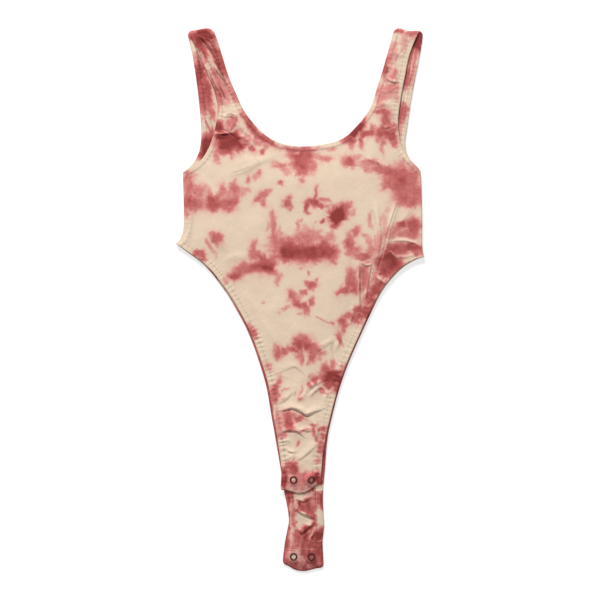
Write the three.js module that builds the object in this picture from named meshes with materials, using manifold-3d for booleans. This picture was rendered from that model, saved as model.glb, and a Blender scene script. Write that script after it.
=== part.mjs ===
// A snap-crotch leotard in tie-dyed cotton jersey, lying flat on its back with its snaps undone.
//
// Frame: millimetres, +Z up. The garment lies on the plane Z = 0. +Y runs from the crotch to the
// shoulders, +X to the right as seen from above. The origin is the centre of the garment's outline
// at the level that it lies on.
//
// Construction, from the bottom up: a back panel, folded hems with elastic inside round every
// opening, side seams that join back to front, and a front panel. Two shoulder straps loop from
// front to back over a shoulder seam. The front panel ends in a tab with two ring snaps and
// sockets. The back panel runs on into a longer tail with two ring snaps and studs, which folds up
// to meet the tab between the wearer's legs.
import * as THREE from "three";
import { mergeVertices } from "three/addons/utils/BufferGeometryUtils.js";
import Module from "manifold-3d";

const wasm = await Module();
wasm.setup();

// ---- driving dimensions ----
const FABRIC = 1.0; // the jersey panels, which are two layers thick
const HEM_WIDTH = 6.2; // turned hem with 6 mm elastic inside
const HEM_THICK = 1.6;
const GAP = 0.3; // clearance between pieces that touch
const SPLIT = 0.25; // half of the slot where the fabric folds at a joint
const Z_FRONT = 7.0; // underside of the front panel over the torso
const Z_TAB = 5.0; // underside of the front tab
const Z_TAIL_END = 3.2; // the tail's underside where it lies on its studs
const STRAP_FOLD_Y = 225; // line across which the straps fold
const TAB_FOLD_Y = -177.5; // line across which the front tab lifts
const TAIL_FOLD_Y = -271.875; // line across which the tail folds, midway between the snap rows
const TOP_Y = 338.75; // top of the shoulder folds
const SNAP_X = [-8.0, 14.0]; // both rows of snaps, 22 mm apart
const FRONT_SNAP_Y = -224.0;
const BACK_SNAP_Y = -319.75;
const RING_R = 4.75; // 9.5 mm ring snaps
const PRONG_CIRCLE_R = 3.65;
const PRONG_R = 0.35;
const PRONG_HOLE_R = 0.65;

// ---- outlines, in millimetres ----
// Front neckline, from the left shoulder down round the scoop and up to the right shoulder.
const F_NECK = [
  [-106.75, 333.12], [-103.75, 326.25], [-100.5, 316.25], [-96.5, 303.12], [-89, 279],
  [-79.5, 256.75], [-70, 236.62], [-56.75, 218.75], [-41.25, 204.25], [-23.25, 195.25],
  [-5.38, 192], [10, 191.75], [25.87, 193.5], [43.75, 197.5], [57.75, 204.25], [70.5, 216.5],
  [81.75, 230], [90, 244.38], [96.25, 265.62], [102.88, 285.75], [108.5, 305.75],
  [113, 321.38], [116, 333.12],
];
// Front armhole edges, from the shoulder down to the underarm.
const F_ARM_L = [
  [-137.5, 330], [-131.88, 318.75], [-127, 307.5], [-121, 294.38], [-113.5, 277.5],
  [-106.75, 260], [-102.75, 241.25], [-103.75, 225], [-107.75, 207.5], [-113.25, 191.25],
  [-121.25, 177.5], [-132.5, 167], [-146.25, 159.62],
];
const F_ARM_R = [
  [146.75, 330.62], [142, 320.62], [135.75, 302.5], [131, 279], [127, 258.75], [124, 240],
  [122.5, 225], [123, 211.25], [125.5, 196.25], [131, 183.75], [138.25, 174.5],
  [145.75, 166.75], [150.5, 160.75],
];
// Side seams: underarm to hip corner on the left, underarm to hip corner on the right.
const F_SIDE_L = [
  [-146.25, 159.62], [-145.75, 143.75], [-145.25, 127.5], [-145, 106.25], [-145.5, 88.75],
  [-149.25, 76.88], [-155, 70],
];
const F_SIDE_R = [
  [150.5, 160.75], [151.25, 150], [152, 127.5], [152.63, 98.75], [152.5, 77.5], [153, 63.75],
  [155, 53.75],
];
// Front leg openings, from the hip corner down to the end of the front tab.
const F_LEG_L = [
  [-155, 70], [-141.5, 61.25], [-123.75, 48.75], [-110.25, 36.25], [-99.13, 22.25],
  [-87.75, 6.5], [-76.5, -12.12], [-65.87, -31.88], [-57.25, -51.88], [-50.62, -70],
  [-44.75, -87.5], [-39.75, -105], [-36.5, -123.75], [-33.5, -143.12], [-30, -162.5],
  [-26.5, -183.75], [-24.25, -200], [-23.5, -212.5], [-23.5, -223.75], [-24.25, -233.75],
];
const F_LEG_R = [
  [155, 53.75], [144.25, 50.87], [135, 46.5], [125, 39.5], [114.5, 29], [104.5, 16.75],
  [97.37, 5.5], [90.38, -8], [81.75, -26.25], [73, -45.62], [65, -63.5], [58, -80],
  [51.75, -97.5], [46.25, -114.38], [41.63, -131.25], [37, -149.5], [33.25, -165],
  [30.5, -180], [28.25, -195], [27, -210], [26.25, -220], [25.75, -227.5],
];
// Free end of the front tab, left to right.
const F_TAB_END = [
  [-24.25, -233.75], [-23, -237], [-18.25, -236.5], [-11.5, -238.62], [-2.5, -240.75],
  [6, -239.62], [12.75, -236], [19.13, -230.75], [25.75, -227.5],
];
// Back neckline, which lies a little lower than the front one.
const B_NECK = [
  [-109.38, 331.88], [-106.88, 322.5], [-103.5, 308.75], [-99, 290], [-92, 267.5],
  [-83.12, 246.25], [-73.75, 226.25], [-61.25, 206.88], [-45.62, 191.25], [-26.25, 180.62],
  [-5.62, 176.25], [10.62, 176], [28.12, 178.5], [46.25, 185], [62.5, 196.25], [76.25, 211.88],
  [86.88, 228.12], [95.25, 246.25], [101.5, 266.25], [107.75, 286.88], [113.25, 306.88],
  [118, 322.5], [121, 331.88],
];
// Back armhole edges.
const B_ARM_L = [
  [-140.5, 330.62], [-138, 321.25], [-133.88, 302.5], [-130.12, 279], [-126.88, 253.75],
  [-124.38, 227.5], [-123.25, 205], [-125.5, 187.5], [-130.75, 175], [-137.5, 166.25],
  [-146.25, 159.62],
];
const B_ARM_R = [
  [153.25, 329.38], [152, 318.75], [147.75, 294.62], [142.25, 267.5], [137.75, 241.25],
  [134.25, 216.25], [131.75, 198.75], [133, 186.25], [137.75, 175.75], [144.25, 167.25],
  [150.5, 160.75],
];
// Back leg openings, from the hip corner down to the end of the back tail.
const B_LEG_L = [
  [-155, 70], [-142, 60.38], [-124.5, 47.5], [-111.25, 34.75], [-100.38, 20.5], [-89.25, 4.75],
  [-78.25, -14], [-67.75, -33.75], [-59.25, -53.75], [-52.88, -71.88], [-47.25, -89.38],
  [-42.37, -106.88], [-38.88, -125], [-35.75, -144.38], [-32.25, -163.75], [-28.75, -184.38],
  [-25.75, -201.25], [-23, -218.75], [-20.5, -235], [-17.88, -249], [-15.25, -262],
  [-14, -276.25], [-16.38, -290], [-19, -303.75], [-20.5, -315.62], [-21.5, -325.62],
];
const B_LEG_R = [
  [155, 53.75], [144.87, 50.13], [135.88, 45.38], [126.12, 38.25], [115.75, 27.75],
  [105.87, 15.5], [98.88, 4.25], [92, -9.25], [83.37, -27.5], [74.62, -46.75], [66.63, -64.5],
  [59.75, -81], [53.37, -98.5], [47.88, -115.38], [43.37, -132.25], [39, -150.25],
  [35.62, -165.75], [33.62, -180.62], [32.25, -196], [31.25, -211], [30, -223.75],
  [29, -236.25], [28.75, -251.25], [29.62, -268.75], [30.25, -281.88], [29.13, -292.5],
  [28.25, -303.12], [28.75, -315], [29.38, -327.5],
];
// Free end of the back tail, left to right.
const B_TAIL_END = [
  [-21.5, -325.62], [-20, -329.75], [-14, -332.75], [-7.63, -336.5], [-1, -338.5],
  [6.38, -338.75], [14, -337.13], [20.62, -335.37], [26.5, -334.5], [29.13, -332.25],
  [29.38, -327.5],
];

// ---- heights ----
const ramp = (y, table) => {
  // table runs from high Y to low Y
  if (y >= table[0][0]) return table[0][1];
  for (let i = 1; i < table.length; i++)
    if (y >= table[i][0]) {
      const [y0, z0] = table[i - 1],
        [y1, z1] = table[i];
      return z0 + ((z1 - z0) * (y0 - y)) / (y0 - y1);
    }
  return table[table.length - 1][1];
};
const FRONT_STEPS = [
  [-40, Z_FRONT],
  [-110, 6.2],
  [-170, Z_TAB],
];
const BACK_STEPS = [
  [-276, 0],
  [-290, 1.6],
  [-304, Z_TAIL_END],
];
const zFront = (y) => ramp(y, FRONT_STEPS);
const zBack = (y) => ramp(y, BACK_STEPS);

// ---- shape helpers ----
const smooth = (points, step = 9) => {
  const curve = new THREE.SplineCurve(points.map(([x, y]) => new THREE.Vector2(x, y)));
  const n = Math.max(4, Math.round(curve.getLength() / step));
  return curve.getSpacedPoints(n).map((p) => [p.x, p.y]);
};
const tangent = (c, i) => {
  const a = c[Math.max(0, i - 1)],
    b = c[Math.min(c.length - 1, i + 1)];
  const l = Math.hypot(b[0] - a[0], b[1] - a[1]);
  return [(b[0] - a[0]) / l, (b[1] - a[1]) / l];
};
// Points a distance d to the left of the curve's direction of travel, or to the right if d < 0.
const offset = (c, d) =>
  c.map((p, i) => {
    const [tx, ty] = tangent(c, i);
    return [p[0] - ty * d, p[1] + tx * d];
  });
const extended = (c, d) => {
  const n = c.length - 1,
    a = tangent(c, 0),
    b = tangent(c, n);
  return [
    [c[0][0] - a[0] * d, c[0][1] - a[1] * d],
    ...c,
    [c[n][0] + b[0] * d, c[n][1] + b[1] * d],
  ];
};

// A closed manifold-3d solid from a list of triangles, each three [x, y, z].
const solidOf = (triangles) => {
  const g = new THREE.BufferGeometry().setAttribute(
    "position",
    new THREE.Float32BufferAttribute(triangles.flat(2), 3),
  );
  return solidFromGeometry(g);
};
const solidFromGeometry = (source) => {
  const g = source.clone();
  for (const name of Object.keys(g.attributes)) if (name !== "position") g.deleteAttribute(name);
  const m = mergeVertices(g, 1e-3);
  const kept = [];
  for (let i = 0; i < m.index.count; i += 3) {
    const [a, b, c] = [m.index.getX(i), m.index.getX(i + 1), m.index.getX(i + 2)];
    if (a !== b && b !== c && c !== a) kept.push(a, b, c);
  }
  const make = (list) =>
    new wasm.Manifold(
      new wasm.Mesh({
        numProp: 3,
        vertProperties: m.attributes.position.array,
        triVerts: new Uint32Array(list),
      }),
    );
  const first = make(kept);
  if (first.volume() >= 0) return first;
  for (let i = 0; i < kept.length; i += 3) [kept[i + 1], kept[i + 2]] = [kept[i + 2], kept[i + 1]];
  return make(kept);
};

// The part of a polygon on one side of a line across it.
const clip = (poly, y, above) => {
  const inside = (p) => (above ? p[1] >= y : p[1] <= y),
    out = [];
  poly.forEach((p, i) => {
    const q = poly[(i + 1) % poly.length];
    if (inside(p)) out.push(p);
    if (inside(p) !== inside(q) && p[1] !== y && q[1] !== y) {
      const t = (y - p[1]) / (q[1] - p[1]);
      out.push([p[0] + t * (q[0] - p[0]), y]);
    }
  });
  return out;
};
// A sheet of thickness t over an outline, whose underside follows z(y), bent only along steps.
const sheet = (outline, z, t, steps) => {
  let poly = outline.map(([x, y]) => new THREE.Vector2(x, y));
  if (THREE.ShapeUtils.isClockWise(poly)) poly.reverse();
  poly = poly.map((p) => [p.x, p.y]);
  const lines = [Infinity, ...steps.map((s) => s[0]), -Infinity];
  const tops = [];
  for (let i = 0; i + 1 < lines.length; i++) {
    let band = poly;
    if (lines[i + 1] > -Infinity) band = clip(band, lines[i + 1], true);
    if (lines[i] < Infinity) band = clip(band, lines[i], false);
    if (band.length < 3) continue;
    const v = band.map(([x, y]) => new THREE.Vector2(x, y));
    for (const [a, b, c] of THREE.ShapeUtils.triangulateShape(v, [])) {
      const area =
        (v[b].x - v[a].x) * (v[c].y - v[a].y) - (v[c].x - v[a].x) * (v[b].y - v[a].y);
      if (Math.abs(area) < 1e-9) continue;
      tops.push(area > 0 ? [band[a], band[b], band[c]] : [band[a], band[c], band[b]]);
    }
  }
  const key = (p) => p[0].toFixed(4) + "," + p[1].toFixed(4);
  const edges = new Set();
  for (const t3 of tops) for (let k = 0; k < 3; k++) edges.add(key(t3[k]) + "|" + key(t3[(k + 1) % 3]));
  const top = (p) => [p[0], p[1], z(p[1]) + t],
    low = (p) => [p[0], p[1], z(p[1])];
  const triangles = [];
  for (const [a, b, c] of tops) {
    triangles.push([top(a), top(b), top(c)], [low(a), low(c), low(b)]);
    for (const [p, q] of [
      [a, b],
      [b, c],
      [c, a],
    ])
      if (!edges.has(key(q) + "|" + key(p)))
        triangles.push([top(p), low(p), low(q)], [top(p), low(q), top(q)]);
  }
  return solidOf(triangles);
};
// A strip between two lines of points, with its own top and bottom at each point.
const strip = (a, b, top, low) => {
  const sections = a.map((p, i) => {
    const q = b[i];
    return [
      [p[0], p[1], top(p[1])],
      [q[0], q[1], top(q[1])],
      [q[0], q[1], low(q[1])],
      [p[0], p[1], low(p[1])],
    ];
  });
  return sweep(sections);
};
// A closed solid through a row of four-cornered sections.
const sweep = (sections) => {
  const triangles = [];
  for (let i = 0; i + 1 < sections.length; i++)
    for (let k = 0; k < 4; k++) {
      const a = sections[i][k],
        b = sections[i][(k + 1) % 4],
        c = sections[i + 1][(k + 1) % 4],
        d = sections[i + 1][k];
      triangles.push([a, b, c], [a, c, d]);
    }
  const s = sections[0],
    e = sections[sections.length - 1];
  triangles.push([s[0], s[2], s[1]], [s[0], s[3], s[2]], [e[0], e[1], e[2]], [e[0], e[2], e[3]]);
  return solidOf(triangles);
};
const box = (x0, x1, y0, y1, z0 = -20, z1 = 40) =>
  solidFromGeometry(
    new THREE.BoxGeometry(x1 - x0, y1 - y0, z1 - z0).translate(
      (x0 + x1) / 2,
      (y0 + y1) / 2,
      (z0 + z1) / 2,
    ),
  );
const rod = (r, x, y, z0, z1, sides = 8) =>
  solidFromGeometry(
    new THREE.CylinderGeometry(r, r, z1 - z0, sides)
      .rotateX(Math.PI / 2)
      .translate(x, y, (z0 + z1) / 2),
  );
const turned = (profile, x, y, z) =>
  solidFromGeometry(
    new THREE.LatheGeometry(
      profile.map(([r, h]) => new THREE.Vector2(r, h)),
      24,
    )
      .rotateX(Math.PI / 2)
      .translate(x, y, z),
  );

const materials = {
  jersey: new THREE.MeshStandardMaterial({ color: 0xe9d3bb, roughness: 0.95, metalness: 0 }),
  jersey_back: new THREE.MeshStandardMaterial({ color: 0xb2605c, roughness: 0.95, metalness: 0 }),
  hem: new THREE.MeshStandardMaterial({ color: 0xe2c2aa, roughness: 0.95, metalness: 0 }),
  lining: new THREE.MeshStandardMaterial({ color: 0xcfb5a3, roughness: 0.95, metalness: 0 }),
  snap: new THREE.MeshStandardMaterial({ color: 0x8c8078, roughness: 0.3, metalness: 1 }),
};
const leotard = new THREE.Group();
const put = (name, solid, material) => {
  const m = solid.getMesh(),
    g = new THREE.BufferGeometry();
  const v = new Float32Array(m.numVert * 3);
  for (let i = 0; i < m.numVert; i++)
    v.set(m.vertProperties.subarray(i * m.numProp, i * m.numProp + 3), i * 3);
  g.setAttribute("position", new THREE.BufferAttribute(v, 3)).setIndex(
    new THREE.BufferAttribute(new Uint32Array(m.triVerts), 1),
  );
  g.computeVertexNormals();
  const mesh = new THREE.Mesh(g, materials[material]);
  mesh.name = name;
  leotard.add(mesh);
};

// ---- the edges as smooth curves ----
const neckF = smooth(F_NECK),
  armLF = smooth(F_ARM_L),
  armRF = smooth(F_ARM_R),
  sideL = smooth(F_SIDE_L, 12),
  sideR = smooth(F_SIDE_R, 12),
  legLF = smooth(F_LEG_L, 10),
  legRF = smooth(F_LEG_R, 10),
  tabEnd = smooth(F_TAB_END, 4),
  neckB = smooth(B_NECK),
  armLB = smooth(B_ARM_L),
  armRB = smooth(B_ARM_R),
  legLB = smooth(B_LEG_L, 10),
  legRB = smooth(B_LEG_R, 10),
  tailEnd = smooth(B_TAIL_END, 4);

// Joins curves into one outline, dropping points that repeat.
const joined = (...curves) => {
  const out = [];
  for (const p of curves.flat())
    if (!out.length || Math.hypot(p[0] - out[out.length - 1][0], p[1] - out[out.length - 1][1]) > 0.4)
      out.push(p);
  if (Math.hypot(out[0][0] - out[out.length - 1][0], out[0][1] - out[out.length - 1][1]) < 0.4) out.pop();
  return out;
};
const back = (c) => [...c].reverse();
const frontOutline = joined(neckF, armRF, sideR, legRF, back(tabEnd), back(legLF), back(sideL), back(armLF));
const backOutline = joined(neckB, armRB, sideR, legRB, back(tailEnd), back(legLB), back(sideL), back(armLB));

// Which side of each edge the cloth lies on: +1 is left of the direction of travel.
const EDGES = {
  front: [
    [neckF, -1],
    [armLF, 1],
    [armRF, -1],
    [legLF, 1],
    [legRF, -1],
  ],
  back: [
    [neckB, -1],
    [armLB, 1],
    [armRB, -1],
    [legLB, 1],
    [legRB, -1],
  ],
};
const cutter = ([c, side]) => {
  const e = extended(c, 5);
  return strip(
    offset(e, -side * 4),
    offset(e, side * (HEM_WIDTH + GAP)),
    () => 30,
    () => -15,
  );
};
const withoutHems = (solid, edges) => edges.reduce((s, e) => s.subtract(cutter(e)), solid);
// A hem band along an edge, between two levels measured from the panel's underside.
const hem = ([c, side], z, rise, y0, y1) => {
  const inner = offset(c, side * HEM_WIDTH);
  return strip(
    c,
    inner,
    (y) => z(y) + rise + HEM_THICK,
    (y) => z(y) + rise,
  ).intersect(box(-400, 400, y0, y1));
};

// ---- front and back panels ----
const front = withoutHems(sheet(frontOutline, zFront, FABRIC, FRONT_STEPS), EDGES.front);
const rear = withoutHems(sheet(backOutline, zBack, FABRIC, BACK_STEPS), EDGES.back);
const TORSO_TOP = STRAP_FOLD_Y - SPLIT,
  STRAP_LOW = STRAP_FOLD_Y + SPLIT,
  CORE_TOP = 331.5;
const frontTorso = front.intersect(box(-400, 400, TAB_FOLD_Y + SPLIT, TORSO_TOP));
const backTorso = rear.intersect(box(-400, 400, TAIL_FOLD_Y + SPLIT, TORSO_TOP));
put("front_panel", frontTorso, "jersey");
put("back_panel", backTorso, "jersey_back");

// ---- hems with elastic inside ----
const F = EDGES.front,
  B = EDGES.back;
put("front_neck_hem", hem(F[0], zFront, -GAP, -400, TORSO_TOP), "hem");
put("back_neck_hem", hem(B[0], zBack, 0, -400, TORSO_TOP), "hem");
put("left_front_armhole_hem", hem(F[1], zFront, -GAP, -400, TORSO_TOP), "hem");
put("right_front_armhole_hem", hem(F[2], zFront, -GAP, -400, TORSO_TOP), "hem");
put("left_back_armhole_hem", hem(B[1], zBack, 0, -400, TORSO_TOP), "hem");
put("right_back_armhole_hem", hem(B[2], zBack, 0, -400, TORSO_TOP), "hem");
put("left_front_leg_hem", hem(F[3], zFront, -GAP, TAB_FOLD_Y + SPLIT, 400), "hem");
put("right_front_leg_hem", hem(F[4], zFront, -GAP, TAB_FOLD_Y + SPLIT, 400), "hem");
put("left_back_leg_hem", hem(B[3], zBack, 0, TAIL_FOLD_Y + SPLIT, 400), "hem");
put("right_back_leg_hem", hem(B[4], zBack, 0, TAIL_FOLD_Y + SPLIT, 400), "hem");

// ---- side seams: the overlocked allowance that stands between back and front ----
const seam = (c, side, y0, y1) =>
  strip(
    offset(c, side * 0.6),
    offset(c, side * 3.2),
    () => Z_FRONT - 2 * GAP,
    () => HEM_THICK + GAP,
  ).intersect(box(-400, 400, y0, y1));
put("left_side_seam", seam(sideL, 1, 73, 157), "hem");
put("right_side_seam", seam(sideR, -1, 58, 158), "hem");

// ---- shoulder straps ----
const at = (c, y) => {
  // x of a curve at a height y, on the curve's steep stretch
  for (let i = 0; i + 1 < c.length; i++) {
    const [a, b] = [c[i], c[i + 1]];
    if ((a[1] - y) * (b[1] - y) <= 0 && a[1] !== b[1])
      return a[0] + ((b[0] - a[0]) * (y - a[1])) / (b[1] - a[1]);
  }
  return c[0][0];
};
const steps = (y0, y1, n) => Array.from({ length: n + 1 }, (_, i) => y0 + ((y1 - y0) * i) / n);
// A band that runs up the front strap, over the shoulder and down the back strap.
// xf(y) and xb(y) are its middle line on the front and on the back.
const loop = (xf, xb, width, thick, y0, zf, zb, top) => {
  const r = (zf - zb) / 2,
    zc = (zf + zb) / 2,
    yc = top - r - thick / 2;
  const path = [];
  for (const y of steps(y0, yc, y0 > 300 ? 1 : 9)) path.push([xf(y), y, zf, 0, 1]);
  for (let k = 1; k < 8; k++) {
    const a = Math.PI / 2 - (Math.PI * k) / 8,
      t = k / 8;
    path.push([
      xf(yc) * (1 - t) + xb(yc) * t,
      yc + r * Math.cos(a),
      zc + r * Math.sin(a),
      Math.cos(a),
      Math.sin(a),
    ]);
  }
  for (const y of steps(yc, y0, y0 > 300 ? 1 : 9)) path.push([xb(y), y, zb, 0, -1]);
  // Sections: the width runs along X, the thickness along the outward normal in the YZ plane.
  const w = width / 2,
    t = thick / 2;
  return sweep(
    path.map(([x, y, z, ny, nz]) => [
      [x - w, y + ny * t, z + nz * t],
      [x + w, y + ny * t, z + nz * t],
      [x + w, y - ny * t, z - nz * t],
      [x - w, y - ny * t, z - nz * t],
    ]),
  );
};
const strapParts = (side, x0, x1, neckFront, neckBack, armFront, armBack, s) => {
  const region = box(x0, x1, STRAP_LOW, CORE_TOP);
  const zf = Z_FRONT + 0.5,
    zb = HEM_THICK / 2;
  const high = (y) => Math.min(y, 331);
  // The strap's cloth ends short of the band along its outer edge.
  const short = (solid, edge) => {
    const line = steps(STRAP_LOW - 2, CORE_TOP + 2, 9).map((y) => [
      at(edge, Math.min(y, 329)) - s * 3.1,
      y,
    ]);
    const wall = (d) => line.map(([x, y]) => [x + d, y]);
    return solid.subtract(
      strip(
        wall(-3.2),
        wall(3.2),
        () => 30,
        () => -15,
      ),
    );
  };
  const largest = (solid) =>
    solid.decompose().reduce((a, b) => (b.volume() > a.volume() ? b : a));
  put(side + "_front_strap", largest(short(front.intersect(region), armFront)), "jersey");
  put(side + "_back_strap", largest(short(rear.intersect(region), armBack)), "jersey_back");
  // s is +1 where the strap's cloth lies to the right of its neck edge.
  put(
    side + "_strap_neck_hem",
    loop(
      (y) => at(neckFront, high(y)) + s * 3.3,
      (y) => at(neckBack, high(y)) + s * 3.3,
      5.2,
      HEM_THICK,
      STRAP_LOW,
      zf,
      zb,
      TOP_Y,
    ),
    "hem",
  );
  put(
    side + "_strap_arm_hem",
    loop(
      (y) => at(armFront, Math.min(y, 329)) - s * 3.1,
      (y) => at(armBack, Math.min(y, 329)) - s * 3.1,
      5.6,
      HEM_THICK,
      STRAP_LOW,
      zf,
      zb,
      TOP_Y,
    ),
    "hem",
  );
  const xf = (at(neckFront, 331) + at(armFront, 329)) / 2,
    xb = (at(neckBack, 331) + at(armBack, 329)) / 2;
  put(
    side + "_shoulder_seam",
    loop(
      () => xf,
      () => xb,
      15,
      FABRIC,
      CORE_TOP + GAP,
      Z_FRONT + 0.5,
      0.5,
      TOP_Y - 0.3,
    ),
    "hem",
  );
};
const half = (c, left) => {
  // one side of a neckline, from the shoulder down to the middle
  const low = c.reduce((m, p, i) => (p[1] < c[m][1] ? i : m), 0);
  return left ? c.slice(0, low + 1) : c.slice(low);
};
strapParts("left", -200, 0, half(neckF, true), half(neckB, true), armLF, armLB, -1);
strapParts("right", 0, 200, half(neckF, false), half(neckB, false), armRF, armRB, 1);

// ---- snaps ----
const RING_PROFILE = [
  [2.6, 0.2],
  [2.75, 0],
  [4.5, 0],
  [RING_R, 0.3],
  [4.55, 0.75],
  [3.9, 1.0],
  [3.3, 1.0],
  [2.75, 0.75],
  [2.6, 0.2],
];
const SOCKET_PROFILE = [
  [2.05, 0],
  [4.3, 0],
  [4.6, 0.3],
  [4.6, 1.6],
  [4.35, 1.6],
  [4.35, 0.8],
  [2.95, 0.8],
  [2.95, 1.6],
  [2.3, 1.6],
  [2.3, 0.7],
  [2.05, 0.5],
  [2.05, 0],
];
const STUD_PROFILE = [
  [0, 0],
  [1.35, 0],
  [1.85, 0.45],
  [1.85, 0.8],
  [1.55, 1.3],
  [1.65, 2.0],
  [4.3, 2.0],
  [4.6, 2.2],
  [4.6, 2.9],
  [4.35, 2.9],
  [4.35, 2.25],
  [2.95, 2.25],
  [2.95, 2.9],
  [2.3, 2.9],
  [2.1, 2.5],
  [0, 2.5],
];
const prongs = (x, y, r, z0, z1) =>
  [0, 1, 2, 3, 4]
    .map((k) => {
      const a = Math.PI / 2 + (k * 2 * Math.PI) / 5;
      return rod(r, x + PRONG_CIRCLE_R * Math.cos(a), y + PRONG_CIRCLE_R * Math.sin(a), z0, z1);
    });
const ringCap = (x, y, z, depth) =>
  prongs(x, y, PRONG_R, z - depth, z + 0.5).reduce((s, p) => s.add(p), turned(RING_PROFILE, x, y, z));
const pierced = (solid, y) =>
  SNAP_X.flatMap((x) => prongs(x, y, PRONG_HOLE_R, -10, 20)).reduce((s, p) => s.subtract(p), solid);

// ---- front tab ----
const tabRegion = box(-100, 100, -300, TAB_FOLD_Y - SPLIT);
put("front_tab", pierced(front.intersect(tabRegion), FRONT_SNAP_Y), "jersey");
put("front_tab_left_hem", hem(F[3], zFront, -GAP, -400, TAB_FOLD_Y - SPLIT), "hem");
put("front_tab_right_hem", hem(F[4], zFront, -GAP, -400, TAB_FOLD_Y - SPLIT), "hem");
const FACING_Z = Z_TAB - GAP - 0.6;
put(
  "front_tab_facing",
  pierced(
    front
      .intersect(box(-14.6, 19.4, -234.4, -212))
      .translate([0, 0, -GAP - FABRIC])
      .intersect(box(-100, 100, -300, 0, FACING_Z, Z_TAB - GAP)),
    FRONT_SNAP_Y,
  ),
  "lining",
);
const RING_FRONT_Z = Z_TAB + FABRIC + GAP;
const SOCKET_Z = FACING_Z - GAP - 1.6;
["left", "right"].forEach((side, i) => {
  put("front_" + side + "_ring_cap", ringCap(SNAP_X[i], FRONT_SNAP_Y, RING_FRONT_Z, 3.0), "snap");
  put("front_" + side + "_socket", turned(SOCKET_PROFILE, SNAP_X[i], FRONT_SNAP_Y, SOCKET_Z), "snap");
});

// ---- back tail ----
const tailRegion = box(-100, 100, -TOP_Y, TAIL_FOLD_Y - SPLIT);
put("back_tail", pierced(rear.intersect(tailRegion), BACK_SNAP_Y), "jersey_back");
put("back_tail_left_hem", hem(B[3], zBack, 0, -400, TAIL_FOLD_Y - SPLIT), "hem");
put("back_tail_right_hem", hem(B[4], zBack, 0, -400, TAIL_FOLD_Y - SPLIT), "hem");
const LINING_RISE = FABRIC + GAP,
  LINING_THICK = 0.6,
  FACING_TOP_Y = -310.5;
const onTail = (y0, y1) => {
  const low = sheet(backOutline, (y) => zBack(y) + LINING_RISE, LINING_THICK, BACK_STEPS);
  return withoutHems(low, B).intersect(box(-100, 100, y0, y1));
};
put("gusset_lining", onTail(TAIL_FOLD_Y + SPLIT, TAB_FOLD_Y - 3), "lining");
put("back_tail_lining", onTail(FACING_TOP_Y + GAP, TAIL_FOLD_Y - SPLIT), "lining");
put("back_tail_facing", pierced(onTail(-335, FACING_TOP_Y), BACK_SNAP_Y), "lining");
["left", "right"].forEach((side, i) => {
  put(
    "back_" + side + "_ring_cap",
    ringCap(SNAP_X[i], BACK_SNAP_Y, Z_TAIL_END + LINING_RISE + LINING_THICK + GAP, 2.9),
    "snap",
  );
  put("back_" + side + "_stud", turned(STUD_PROFILE, SNAP_X[i], BACK_SNAP_Y, 0), "snap");
});

export default leotard;
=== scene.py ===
# A snap-crotch leotard in tie-dyed cotton jersey, lying flat on its back with its snaps undone.
# Lengths in the tables are millimetres; Blender's objects are metres.
import math

import bpy
import numpy as np
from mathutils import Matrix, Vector
from mathutils.geometry import delaunay_2d_cdt
from mathutils.kdtree import KDTree


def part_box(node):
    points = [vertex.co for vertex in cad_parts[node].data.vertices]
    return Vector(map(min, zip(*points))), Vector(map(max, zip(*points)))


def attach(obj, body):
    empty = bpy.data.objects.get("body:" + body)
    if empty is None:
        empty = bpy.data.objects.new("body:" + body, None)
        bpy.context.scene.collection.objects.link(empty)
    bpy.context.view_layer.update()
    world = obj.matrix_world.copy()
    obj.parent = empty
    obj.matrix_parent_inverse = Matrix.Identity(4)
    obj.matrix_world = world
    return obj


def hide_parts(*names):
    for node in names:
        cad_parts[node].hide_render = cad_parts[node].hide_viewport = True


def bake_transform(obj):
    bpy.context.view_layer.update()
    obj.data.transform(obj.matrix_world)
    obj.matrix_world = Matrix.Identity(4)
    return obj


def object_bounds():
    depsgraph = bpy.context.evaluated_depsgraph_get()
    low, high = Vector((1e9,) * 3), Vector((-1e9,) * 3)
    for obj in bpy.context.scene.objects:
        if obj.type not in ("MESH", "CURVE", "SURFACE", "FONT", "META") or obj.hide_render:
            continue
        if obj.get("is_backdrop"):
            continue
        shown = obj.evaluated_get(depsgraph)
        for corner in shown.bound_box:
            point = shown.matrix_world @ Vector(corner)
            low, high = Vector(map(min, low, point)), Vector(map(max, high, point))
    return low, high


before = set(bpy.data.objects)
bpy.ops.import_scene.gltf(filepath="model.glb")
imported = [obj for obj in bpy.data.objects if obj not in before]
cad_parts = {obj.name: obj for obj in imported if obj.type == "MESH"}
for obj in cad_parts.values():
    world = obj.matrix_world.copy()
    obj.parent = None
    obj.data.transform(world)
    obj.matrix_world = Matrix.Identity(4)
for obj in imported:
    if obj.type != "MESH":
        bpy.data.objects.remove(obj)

cad_low, cad_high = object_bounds()
MM = 0.001

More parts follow.
